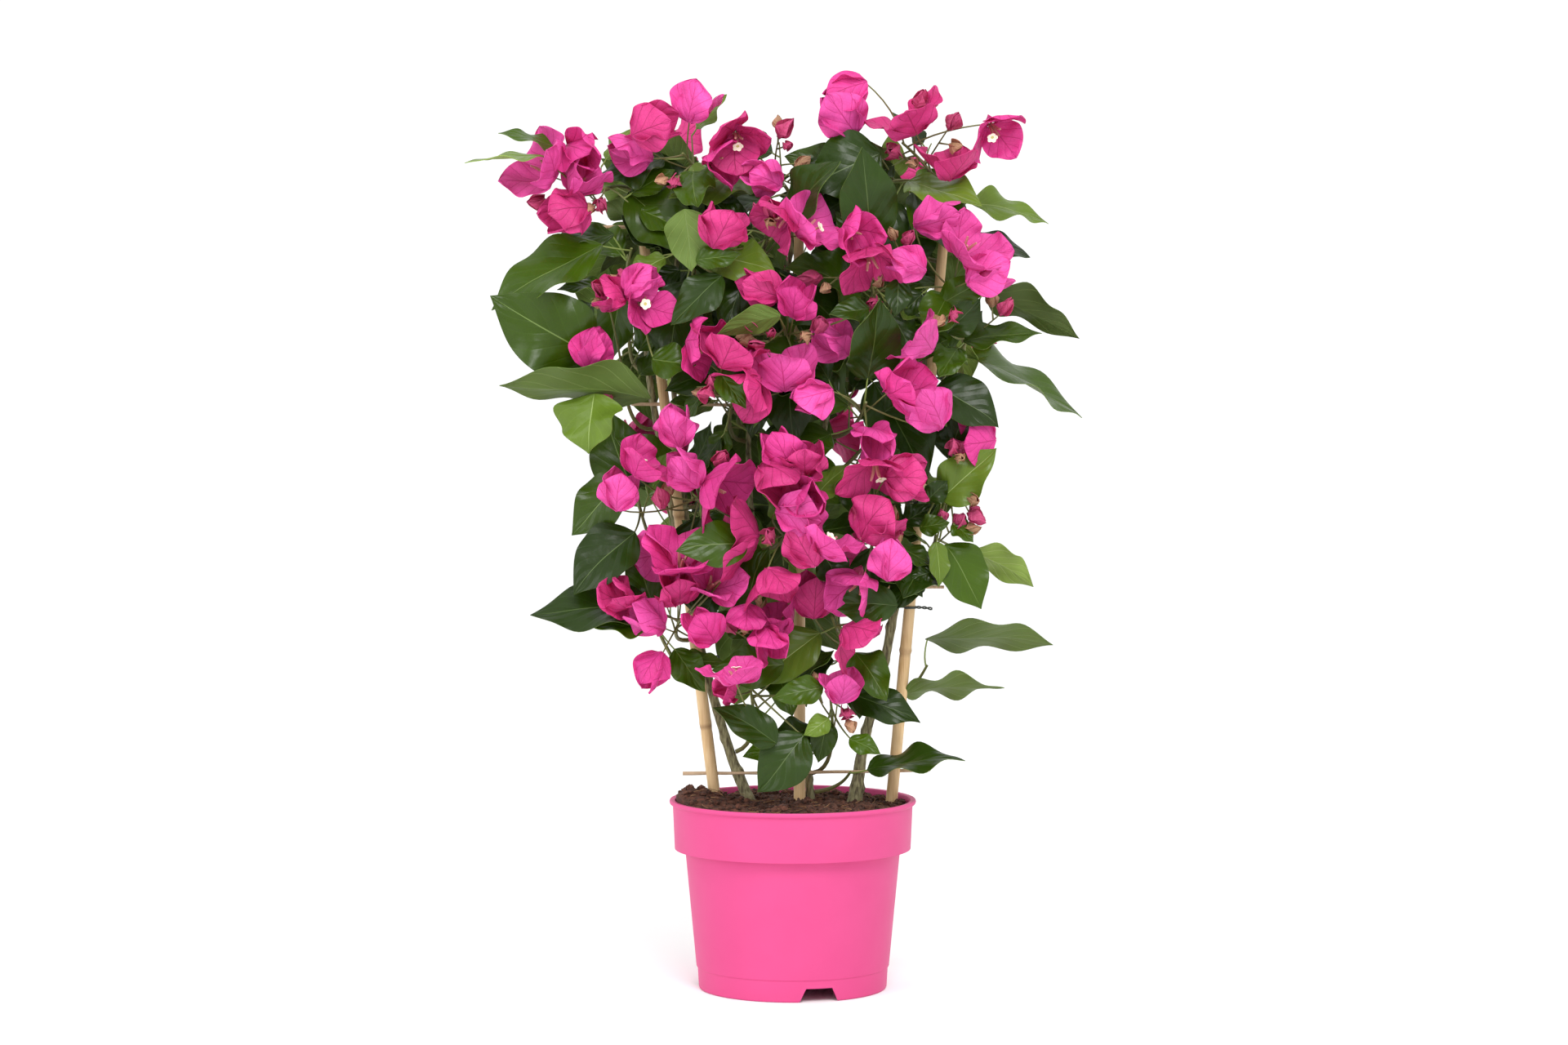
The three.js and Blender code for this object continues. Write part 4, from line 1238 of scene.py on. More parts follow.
@dataclass
class Tie:
    """A paper-covered wire wound twice round cane and stem, its two ends twisted together."""

    name: str
    cane: Cane
    limb: "Limb"
    height: float
    wire: float = 0.55
    tail: float = 11
    turns: int = 2
    arc: int = 7  # corners in each half of a turn

    def build(self) -> bpy.types.Object:
        """Lays the loops and twists the tail."""
        a = self.cane.middle(self.height)
        share = self.limb.share_at(self.height)
        b = self.limb.path.point(share)
        radius_a = self.cane.radius(self.height) + self.wire + 0.15
        radius_b = self.limb.radius(share) + self.wire + 0.3
        lean = math.atan2(b[1] - a[1], b[0] - a[0])
        far = math.hypot(b[0] - a[0], b[1] - a[1])
        spread = math.acos((radius_a - radius_b) / far)
        corners = []
        whole = 2 * self.arc
        for turn in range(self.turns):
            for centre, radius, start, end in (
                (a, radius_a, lean + spread, lean + 2 * math.pi - spread),
                (b, radius_b, lean - spread, lean + spread),
            ):
                for step in range(self.arc):
                    angle = start + (end - start) * step / (self.arc - 1)
                    part = (turn + len(corners) % whole / whole) / self.turns
                    corners.append(vec(
                        centre[0] + radius * math.cos(angle), centre[1] + radius * math.sin(angle),
                        self.height - self.wire * 1.1 + self.wire * 2.4 * part,
                    ))
        loop = tube_shape(6, 96)
        spray = Spray(f"wire_{self.name}", "tie_paper", TIE_PAPER)
        spray.add(loop, along_path(loop, spline(corners), lambda s: np.full(len(s), self.wire), UP))
        start = a + vec(radius_a, -1, 0)
        strand = tube_shape(5, 30)
        for side in (0, math.pi):
            twist = [
                start + vec(self.tail * t, 0.2 * math.sin(4 * t), -1.2 * t * t)
                + vec(0, math.cos(9 * t + side), math.sin(9 * t + side)) * (0.62 + 0.5 * max(0.0, t - 0.75))
                for t in np.linspace(0, 1, 16)
            ]
            path = spline(twist)
            spray.add(strand, along_path(strand, path, lambda s: np.full(len(s), self.wire)))
        spray.nodes.add(self.name)
        return spray.build()


# ---- woody limbs ---------------------------------------------------------------------------------


@dataclass
class Limb:
    """One woody limb with its bark's relief: its path, its taper and its root flare."""

    name: str
    size: LimbSize
    path: Path = field(repr=False)
    sides: int = 16
    scars: int = 14
    scar_long: float = 2.6
    crack_long: float = 9

    def radius(self, share: float) -> float:
        """The limb's radius at a share of its length."""
        size = self.size
        return size.foot + (size.tip - size.foot) * share + size.flare * math.exp(-22 * share)

    def share_at(self, height: float) -> float:
        """The share of its length at which the limb passes a height."""
        low, high = 0.0, 1.0
        for _ in range(24):
            middle = (low + high) / 2
            if self.path.point(middle)[2] < height:
                low = middle
            else:
                high = middle
        return low

    def spring(self, height: float, way: Vec) -> tuple[Vec, Vec]:
        """Where a shoot leaves the limb, just clear of the bark, and the way it sets off.

        Args:
            height: The height it leaves at, or 0 for the limb's tip.
            way: The direction it is wanted in.

        Returns:
            The spot and the direction.
        """
        share = 1.0 if height == 0 else self.share_at(height)
        middle, tangent = self.path.point(share), self.path.tangent(share)
        if height == 0:
            return middle + tangent * CLEAR, tangent
        off = square(way, tangent)
        return middle + off * (self.radius(share) + CLEAR), off

    def build(self) -> bpy.types.Object:
        """Bends a fine tube along the limb and gives it cracks, leaf scars and knots."""
        rings = max(int(self.path.length / 2.2), 30)
        shape = tube_shape(self.sides, rings)
        points = along_path(shape, self.path, lambda s: np.array([self.radius(x) for x in s]))
        seed = sum(map(ord, self.name))
        last = self.scars - 1
        scars = [0.04 + 0.92 * i / last + 0.02 * math.sin(i * 5 + seed) for i in range(self.scars)]
        shares = shape.spots[:, 2]
        angles = np.arctan2(shape.spots[:, 1], shape.spots[:, 0])
        middles = np.array([self.path.point(s) for s in shares])
        reach = self.path.length
        swell = np.zeros(len(points))
        for i, scar in enumerate(scars):
            near = np.exp(-(((shares - scar) * reach / self.scar_long) ** 2))
            swell += near * (0.08 + 0.3 * np.maximum(np.cos(angles - i * GOLDEN), 0) ** 2)
        around = [(math.cos(a) * 1.7, math.sin(a) * 1.7) for a in angles]
        crack = np.array([
            noise.fractal(Vector((x, y, s * reach / self.crack_long + seed)), 0.8, 2.2, 3)
            for (x, y), s in zip(around, shares)
        ])
        fade = np.clip(np.minimum(shares, 1 - shares) * reach / 3, 0.25, 1)
        points = middles + (points - middles) * (1 + (0.1 * crack + swell) * fade)[:, None]
        spray = Spray(f"bark_{self.name}", "bark", BARK)
        spray.add(shape, points)
        spray.nodes.add(self.name)
        return spray.build()


def grow_limbs() -> dict[str, Limb]:
    """The stems, and the boughs that leave them, as limbs by name."""
    limbs: dict[str, Limb] = {}
    for name, size in LIMBS.items():
        points = [vec(*p) for p in size.points]
        if size.leaves:
            spot, way = limbs[size.leaves].spring(size.at, vec(size.side, 0.5, 0))
            points = [spot, spot + way * 7, *points]
        limbs[name] = Limb(name, size, spline(points))
    return limbs


# ---- shoots, by the solids' rule -----------------------------------------------------------------

LEAST_LEAF, MOST_LEAF, SLIM, LEAF_CURL = 54.0, 84.0, 0.6, 0.14
HEAD_WIDE, HEAD_UP = 26.0, 25.0
BUD_WIDE, BUD_UP = 5.6, 9.0
STEM_LEAVE, SWINGS, TRIES = 19.0, 13, 39
# How much larger or smaller than usual a shoot's heads are.
GROWN = {
    "far_left": 1.2, "crest_left": 1.1, "crest_right": 1.15, "crest_middle": 1.06, "right_bloom": 1.15,
    "foot_left": 0.66, "foot_right": 0.8, "low_centre": 0.9, "left_buds": 0.9,
}
HIGH_UP, HIGH_SHARE, LOW_SHARE = 425, 0.98, 1.08  # heads above this height are the smaller ones
NODDING = 0.78  # share of the heads that nod aside
HEAD_MIDDLE, HEAD_HANG = 15, 16  # how far along its axis a head's middle is, before and after it nods
TIGHT_LEAF = 0.62  # share of its size that a leaf keeps where it would cover an opening
SEEN_ROOT, SEEN_CALM = 0.85, 0.7  # where a leaf that was read off springs from; share of the usual waves it has
MOST_FACED, LEAST_WIDE = 0.95, 0.5  # how squarely a long leaf can face the viewer; its least width to length
NEAR = 0.09  # how near a packed corner has to be for a leaf or bloom to be the one that stands there


@dataclass(frozen=True)
class View:
    """Where the viewer stands, and so where a thing that shows at some place of the picture is.

    The picture is 1920 pixels wide and 1280 high; lengths are in millimetres.
    """

    eye: tuple[float, float, float] = (-6.0, -2400.0, 416.9)
    dip: float = 2.30  # how far it looks down, in degrees
    lens: float = 80.29
    sensor: float = 36.0
    wide: int = 1920
    high: int = 1280

    @property
    def focal(self) -> float:
        """The lens in pixels."""
        return self.lens / self.sensor * self.wide

    def at(self, spot: tuple[int, int], depth: float) -> Vec:
        """The point at this depth that shows at a place of the picture.

        Args:
            spot: Pixels from the picture's left and top edges.
            depth: How far behind the rack's middle the point is, under 0 in front of it.

        Returns:
            The point.
        """
        cos, sin = math.cos(math.radians(self.dip)), math.sin(math.radians(self.dip))
        right, up = spot[0] - self.wide / 2, self.high / 2 - spot[1]
        way = vec(right, self.focal * cos + up * sin, up * cos - self.focal * sin)
        return vec(*self.eye) + way * ((depth - self.eye[1]) / way[1])

    def length(self, pixels: float, depth: float) -> float:
        """The length at this depth that shows as so many pixels."""
        return pixels * (depth - self.eye[1]) / self.focal


VIEW = View()


@dataclass(frozen=True)
class SeenLeaf:
    """One of the longest leaves as it was read off: its blade's ends and width in pixels."""

    base: tuple[int, int]
    base_depth: float
    tip: tuple[int, int]
    tip_depth: float
    wide: int
    tone: LeafTone
    under: bool = False  # whether its underside is what shows


DEEP, FULL, YOUNG = LeafTone.DEEP, LeafTone.FULL, LeafTone.YOUNG
# The leaves that make the crown's edge, in the order of a shoot's tips, then others that lie on its face.
SEEN_LEAVES = {
    "far_left": (
        SeenLeaf((668, 192), -70, (569, 200), -88, 20, YOUNG),
        SeenLeaf((690, 183), -52, (610, 162), -60, 20, FULL),
    ),
    "upper_right": (
        SeenLeaf((1190, 250), 20, (1283, 271), 40, 38, YOUNG),
        SeenLeaf((1192, 290), 34, (1262, 317), 50, 24, DEEP),
        SeenLeaf((1078, 188), -34, (987, 230), -40, 78, DEEP),
    ),
    "left_upper": (
        SeenLeaf((738, 300), -44, (601, 379), -50, 64, FULL),
        SeenLeaf((752, 288), -30, (676, 294), -30, 30, DEEP),
    ),
    "left_mid": (
        SeenLeaf((728, 436), -50, (600, 362), -62, 92, FULL),
        SeenLeaf((797, 488), -58, (611, 475), -70, 60, FULL, True),
        SeenLeaf((728, 482), -54, (722, 556), -60, 84, YOUNG),
        SeenLeaf((742, 350), -40, (682, 355), -44, 14, FULL),
    ),
    "right_mid": (
        SeenLeaf((1203, 354), 10, (1318, 417), 30, 20, DEEP, True),
        SeenLeaf((1180, 419), -20, (1276, 409), -20, 32, FULL),
        SeenLeaf((1182, 437), 50, (1325, 512), 88, 36, FULL),
        SeenLeaf((1146, 474), -30, (1225, 520), -34, 62, DEEP),
        SeenLeaf((1150, 374), -36, (1213, 340), -40, 36, FULL),
        SeenLeaf((1160, 408), -34, (1201, 366), -40, 38, DEEP),
    ),
    "left_low": (
        SeenLeaf((770, 583), -38, (702, 658), -40, 58, FULL),
        SeenLeaf((778, 652), -50, (700, 727), -58, 70, DEEP),
    ),
    "right_low": (
        SeenLeaf((1190, 674), 20, (1267, 718), 40, 22, YOUNG, True),
        SeenLeaf((1157, 667), -28, (1200, 747), -30, 62, FULL),
        SeenLeaf((1152, 612), -30, (1222, 551), -36, 54, YOUNG),
    ),
    "low_far_left": (
        SeenLeaf((802, 745), -45, (649, 755), -50, 46, DEEP),
        SeenLeaf((806, 768), -50, (719, 767), -60, 22, FULL),
    ),
    "foot_left": (
        SeenLeaf((985, 900), -50, (931, 973), -60, 60, DEEP),
        SeenLeaf((960, 814), -48, (871, 822), -50, 50, FULL),
        SeenLeaf((951, 911), -62, (874, 864), -64, 40, DEEP),
        SeenLeaf((1008, 842), -58, (945, 856), -62, 32, FULL),
    ),
    "foot_right": (
        SeenLeaf((1040, 850), -22, (1128, 883), -24, 44, DEEP),
        SeenLeaf((1040, 905), -44, (1078, 924), -50, 24, FULL),
        SeenLeaf((1015, 880), -50, (985, 902), -54, 24, YOUNG),
    ),
    "right_small": (
        SeenLeaf((1126, 646), -34, (1163, 640), -40, 24, FULL),
        SeenLeaf((1136, 612), -34, (1160, 588), -36, 26, DEEP),
        SeenLeaf((1166, 642), -30, (1192, 664), -34, 26, FULL),
        SeenLeaf((1146, 664), -40, (1151, 719), -44, 18, YOUNG),
        SeenLeaf((1142, 700), -38, (1114, 708), -42, 26, DEEP),
    ),
    "foot_far_right": (
        SeenLeaf((1133, 783), 12, (1290, 789), 20, 34, FULL),
        SeenLeaf((1107, 850), 4, (1230, 843), 2, 36, FULL),
    ),
    "base_shoot": (
        SeenLeaf((1062, 943), -18, (1182, 929), -24, 28, DEEP),
    ),
    "low_left_bloom": (
        SeenLeaf((916, 668), -84, (827, 672), -92, 52, FULL),
    ),
    "low_right": (
        SeenLeaf((1099, 742), -60, (1017, 738), -66, 48, DEEP),
    ),
    "upper_left": (
        SeenLeaf((852, 319), -70, (908, 312), -74, 28, FULL),
        SeenLeaf((838, 256), -66, (846, 333), -72, 54, FULL, True),
        SeenLeaf((884, 338), -70, (823, 400), -74, 48, DEEP),
    ),
    "left_buds": (
        SeenLeaf((798, 440), -60, (852, 449), -66, 44, FULL),
    ),
    "mid_centre": (
        SeenLeaf((956, 386), -82, (878, 408), -88, 32, FULL, True),
        SeenLeaf((1064, 378), -78, (1015, 384), -84, 30, DEEP),
    ),
    "mid_right": (
        SeenLeaf((1100, 342), -78, (1098, 388), -84, 30, DEEP),
    ),
    "centre": (
        SeenLeaf((880, 455), -78, (915, 500), -84, 30, FULL),
    ),
}
SHADE_PAINTED_LEAVES = {7602}  # leaves darkened to the deep green as painted shade, since the spread of greens leaves them too light for their shaded place


@dataclass
class Leaf:
    """One leaf as it stands: its stalk from root to base, and its blade."""

    root: Vec
    base: Vec
    along: Vec
    face: Vec
    length: float
    width: float
    seed: int
    calm: float = 1.0  # share of the usual waves at its margins

    @property
    def tip(self) -> Vec:
        """The blade's point."""
        return self.base + self.along * self.length - self.face * LEAF_CURL * self.length

    def shrunk(self, share: float) -> "Leaf":
        """The same leaf with a smaller blade."""
        return replace(self, length=self.length * share, width=self.width * share)

    def hung(self, seen: SeenLeaf, out: Vec) -> "Leaf":
        """The same leaf as it hangs, arched between the two ends that show.

        Args:
            seen: How it shows from in front.
            out: The way its shoot faces.

        Returns:
            The leaf, turned on its length until it shows as wide as it should.
        """
        base, tip = VIEW.at(seen.base, seen.base_depth), VIEW.at(seen.tip, seen.tip_depth)
        span = float(np.linalg.norm(tip - base))
        shown = VIEW.length(seen.wide, seen.tip_depth)
        width = max(shown / MOST_FACED, LEAST_WIDE * span)
        faced = shown / width * (-1 if seen.under else 1)
        chord = unit(tip - base)
        face = square(out * faced + UP * math.sqrt(1 - faced ** 2), chord)
        slack = math.hypot(1, LEAF_CURL)
        along, turned_face = (chord + face * LEAF_CURL) / slack, (face - chord * LEAF_CURL) / slack
        return replace(
            self, base=base, along=along, face=turned_face, length=span / slack, width=width, calm=SEEN_CALM
        )


@dataclass
class Bloom:
    """One head of bracts, or one closed bud, on its stalk from root to spot."""

    root: Vec
    spot: Vec
    axis: Vec
    beside: Vec
    size: float
    shut: bool
    seed: int

    @property
    def corners(self) -> list[Vec]:
        """The three corners of the solid's cup or bud."""
        wide, up = (BUD_WIDE, BUD_UP) if self.shut else (HEAD_WIDE, HEAD_UP)
        other = np.cross(self.beside, self.axis)
        middle = self.spot + self.axis * up * self.size
        return [
            middle + (self.beside * math.sin(a) + other * math.cos(a)) * wide * self.size
            for a in (0, 2 * math.pi / 3, 4 * math.pi / 3)
        ]


def is_clear(leaf: Leaf) -> bool:
    """Whether a leaf leaves the crown's openings free."""
    spots = np.array([leaf.base + leaf.along * leaf.length * share for share in (0.2, 0.5, 0.85)])
    gaps = np.hypot(spots[:, :1] - SKY[:, 0], spots[:, 2:] - SKY[:, 1]) - SKY[:, 2]
    return bool(gaps.min() > leaf.width * 0.22)


class Standing:
    """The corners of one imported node, searched by place."""

    def __init__(self, name: str) -> None:
        """Reads the node's corners, in millimetres."""
        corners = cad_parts[name].data.vertices
        self.tree = KDTree(len(corners))
        for i, v in enumerate(corners):
            self.tree.insert(v.co / MM, i)
        self.tree.balance()

    def has(self, spot: Vec) -> bool:
        """Whether the node has a corner at a spot."""
        return self.tree.find(Vector(spot))[2] < NEAR


class Seed(Enum):
    """Where the seeds of each kind of thing begin within its shoot's thousand."""

    BLOOM = 0
    TWIG = 300
    SMALL_LEAF = 400
    LEAF = 600
    FAR_LEAF = 900
    SEEN_LEAF = 950


class Shoot:
    """One leafy shoot: its own stem, and the leaves and blooms that stand on it."""

    def __init__(self, name: str, index: int, limbs: dict[str, Limb]) -> None:
        """Grows the shoot by the solids' rule.

        Args:
            name: The shoot's node.
            index: Its place in the table, from 1.
            limbs: The limbs by name.
        """
        self.name, self.index, self.size = name, index, SHOOTS[name]
        size = self.size
        self.centre = vec(*size.middle)
        front = -1 if size.middle[1] < CANE_Y else 1
        self.out = unit(vec(size.middle[0] / 260, front, 0.1))
        way = unit(vec(size.side, 0.6 if front > 0 else -0.1, 0))
        spot, start = limbs[size.limb].spring(size.height, way)
        self.end = self.centre - self.out * size.reach[1] * 0.6
        leave = min(STEM_LEAVE, float(np.linalg.norm(spot - self.end)) * 0.5)
        self.path = bend(spot, spot + start * leave, self.end)
        self.standing = Standing(name)
        low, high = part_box(name)
        self.low, self.high = np.array(low) / MM, np.array(high) / MM
        self.blooms = [b for b in map(self._bloom, range(size.heads + size.buds)) if b]
        self.far_leaves = [leaf for leaf in map(self._far_leaf, range(len(size.tips))) if leaf]
        self.leaves = [leaf for leaf in map(self._leaf, range(size.leaves)) if leaf]

    def seed(self, kind: Seed, i: int) -> int:
        """The seed of the shoot's i-th thing of a kind."""
        return self.index * 1000 + kind.value + i

    def _root(self, share: float) -> Vec:
        """Where on the stem a stalk begins."""
        return self.path.point(min(share, 0.97))

    def _bloom(self, i: int) -> Bloom | None:
        """The bloom that stands at the i-th place of the spiral, if one does."""
        size = self.size
        count = size.heads + size.buds
        seed = self.seed(Seed.BLOOM, i)
        dice = Dice(seed)
        shut = (i * 7) % count >= size.heads
        far, angle = math.sqrt((i + 0.5) / count), i * GOLDEN + size.turn
        offset = vec(math.cos(angle) * far, 0, math.sin(angle) * far)
        deep = size.reach[1] * math.sqrt(1 - far * far) + (dice() - 0.5) * 8
        spot = self.centre + offset * vec(size.reach[0], 0, size.reach[2]) + self.out * deep
        loose = vec(dice() - 0.5, dice() - 0.5, dice() - 0.1)
        axis = unit(self.out * 0.6 + offset * 0.55 + loose)
        spin, grown = dice.angle(), 0.86 + 0.2 * dice()
        root = self._root(0.4 + 0.6 * (i + 0.7) / count)
        for nudge in range(TRIES):
            shift = (-3 if nudge % 2 else 3) * math.ceil(nudge / 2)
            place = spot + self.out * shift
            facing = unit(axis + unit(place - root) * 0.4)
            beside = turned(square(vec(0.3, 0.5, 0.8), facing), facing, spin)
            bloom = Bloom(root, place, facing, beside, grown, shut, seed)
            if sum(map(self.standing.has, bloom.corners)) > 1:
                return bloom
        return None

    def _far_leaf(self, i: int) -> Leaf | None:
        """The i-th of the longest leaves, if it stands."""
        x, y, z, facing = self.size.tips[i]
        root = self._root(1 - 0.4 * i / len(self.size.tips))
        for nudge in range(TRIES):
            swing = (1 if nudge % 2 else -1) * math.ceil(nudge / 2)
            tip = vec(x, y + 7 * swing, z)
            along = unit(tip - self.end)
            length = min(MOST_LEAF, float(np.linalg.norm(tip - self.end)) * 0.88)
            face = square(self.out * facing + UP, along)
            base = tip - along * length + face * LEAF_CURL * length
            leaf = Leaf(root, base, along, face, length, length * SLIM, self.seed(Seed.FAR_LEAF, i))
            if self.standing.has(leaf.tip):
                return leaf
        return None

    def _leaf(self, i: int) -> Leaf | None:
        """The i-th of the inner leaves, if it stands."""
        size = self.size
        seed = self.seed(Seed.LEAF, i)
        dice = Dice(seed)
        angle = i * GOLDEN + size.turn * 2 + 1
        full = LEAST_LEAF + (MOST_LEAF - LEAST_LEAF) * dice()
        wanted = unit(vec(math.cos(angle), 0, math.sin(angle) * 0.8 - 0.4) + self.out * (0.1 + 0.5 * dice()))
        lift, stalk = 0.3 + 0.6 * dice(), 10 + 16 * dice()
        root = self._root(0.3 + 0.65 * (i + 0.5) / size.leaves)
        for nudge in range(TRIES):
            swing = (1 if nudge % 2 else -1) * math.ceil((nudge % SWINGS) / 2)
            along = turned(wanted, self.out, swing * 2 * math.pi / SWINGS)
            face = square(self.out * 0.8 + UP * lift, along)
            length = full * (1 - 0.14 * (nudge // SWINGS))
            base = root + along * stalk + UP * 3
            leaf = Leaf(root, base, along, face, length, length * SLIM, seed)
            if self.standing.has(leaf.tip):
                return leaf
        return None

    def holds(self, leaf: Leaf, slack: float = 3.0) -> bool:
        """Whether a leaf keeps to the shoot's own space and the crown's outline, and leaves the sky open."""
        spot = leaf.tip
        if (spot < self.low - slack).any() or (spot > self.high + slack).any() or not is_clear(leaf):
            return False
        left = np.interp(spot[2], CROWN[:, 0], CROWN[:, 1])
        right = np.interp(spot[2], CROWN[:, 0], CROWN[:, 2])
        return bool(left < spot[0] < right)


# ---- foliage -------------------------------------------------------------------------------------


def outline(share: np.ndarray, broad: float, base: float, tip: float) -> np.ndarray:
    """A blade's half width along it, 1 at its broadest.

    Args:
        share: Places along the blade from 0 to 1.
        broad: Where it is broadest.
        base: How gently it widens from its base: less is squarer.
        tip: How far its point is drawn out.

    Returns:
        The half width at each place.
    """
    low = np.clip(share / broad, 0, 1)
    high = np.clip((share - broad) / (1 - broad), 0, 1)
    return np.sin(low * math.pi / 2) ** base * (1 - high ** 2) ** tip


@dataclass(frozen=True)
class LeafForm:
    """How a leaf blade is bent: folded at its midrib, waved at its margins, its point hanging."""

    fold: float = 0.26
    wave: float = 0.14
    waves: float = 1.9
    thick: float = 0.5
    widening: float = 0.62  # how gently it widens from its base: less is squarer
    drawn: float = 1.15  # how far its point is drawn out

    def points(self, shape: Shape, leaf: Leaf) -> np.ndarray:
        """The blade's corners in place.

        Args:
            shape: The blade shape.
            leaf: The leaf.

        Returns:
            The places.
        """
        dice = Dice(leaf.seed * 7 + 3)
        u, t, side = shape.spots.T
        beside = np.cross(leaf.along, leaf.face)
        full = leaf.width * 0.53
        half = full * outline(t, dice.between(0.34, 0.44), self.widening, self.drawn) + 0.5 * (1 - t)
        across = u * half
        phase, twist, sweep = dice.angle(), dice.between(-0.45, 0.45), dice.between(-0.1, 0.1)
        fold, ripple = self.fold * dice.between(0.4, 1.8), self.wave * leaf.calm * dice.between(0.5, 1.7)
        waved = np.sin(ROUGH_TURN * self.waves * t + phase + 1.3 * np.sign(u)) * half / full
        lift = fold * np.abs(across) * (1 - 0.55 * np.abs(u)) + ripple * leaf.width * u * u * waved
        lift += 0.06 * leaf.length * np.sin(ROUGH_TURN * t + phase) * t * (1 - t) + (side - 0.5) * self.thick
        angle = twist * t
        hook = (dice() - 0.5) * 0.12 * leaf.length * t ** 7
        x = across * np.cos(angle) - lift * np.sin(angle) + sweep * leaf.length * t * (1 - t) + hook
        z = across * np.sin(angle) + lift * np.cos(angle) - LEAF_CURL * leaf.length * t ** 2
        s = leaf.length * t
        return leaf.base + leaf.along * s[:, None] + beside * x[:, None] + leaf.face * z[:, None]


@dataclass(frozen=True)
class BractForm:
    """How a bract is bent: cupped round the head, creased at its midrib, crinkled at its margins."""

    length: float = 36.0
    width: float = 0.97  # of its length
    belly: float = 0.31  # how far a shut head swells, as a share of its length
    mouth: float = 0.1  # how far its points stay apart
    round: float = 0.85  # radius of the hollow across it, as a share of its length
    crease: float = 0.26
    crinkle: float = 0.06
    thick: float = 0.3
    widening: float = 0.44  # how gently it widens from its base: less is squarer
    drawn: float = 0.8  # how far its point is drawn out

    def points(self, shape: Shape, bloom: Bloom, way: Vec, wide: float, seed: int) -> np.ndarray:
        """One bract's corners in place.

        Args:
            shape: The blade shape.
            bloom: The head it belongs to.
            way: The side of the head it opens to, square to the head's axis.
            wide: How far the head is open, from 0 for a lantern to 1 for a star.
            seed: The seed of its own bends.

        Returns:
            The places.
        """
        dice = Dice(seed)
        u, t, side = shape.spots.T
        wide = min(max(wide + dice.between(-0.12, 0.12), 0.0), 1.0)
        long = self.length * bloom.size * dice.between(0.92, 1.08) * (0.84 + 0.2 * wide)
        start = bloom.spot + way * 1.2
        high = start + (bloom.axis * (0.48 - 0.22 * wide) + way * (self.belly + 0.26 * wide)) * long
        end = start + (bloom.axis * (1.0 - 0.5 * wide) + way * (self.mouth + 0.76 * wide)) * long
        a, b, c = ((1 - t) ** 2)[:, None], (2 * t * (1 - t))[:, None], (t * t)[:, None]
        heading = (high - start) * (1 - t)[:, None] + (end - high) * t[:, None]
        heading /= np.linalg.norm(heading, axis=1)[:, None]
        beside = turned(np.cross(bloom.axis, way), unit(end - start), dice.between(-0.3, 0.3))
        outward = np.cross(beside, heading)
        outward /= np.linalg.norm(outward, axis=1)[:, None]
        full = self.width * 0.5 * long * dice.between(0.92, 1.06)
        half = full * outline(t, dice.between(0.38, 0.47), self.widening, self.drawn) + 0.4 * (1 - t)
        across = u * half
        lift = -(across ** 2) / (2 * long * (self.round + 0.5 * wide))
        lift -= self.crease * dice.between(-0.5, 1.2) * np.abs(across) * (1 - 0.5 * np.abs(u))
        phase, crest = dice.angle(), dice.between(1.1, 2.1)
        wave = np.sin(ROUGH_TURN * crest * t + phase + 2 * np.sign(u))
        wave += 0.5 * np.sin(14.5 * t + 3.8 * u + phase)
        lift += self.crinkle * dice.between(0.6, 1.6) * long * np.abs(u) ** 1.4 * wave * half / full
        lift += 0.02 * long * np.sin(6 * u + 5 * t + phase) + 0.1 * wide * long * t ** 5
        lift += (side - 0.5) * self.thick
        return start * a + high * b + end * c + beside * across[:, None] + outward * lift[:, None]


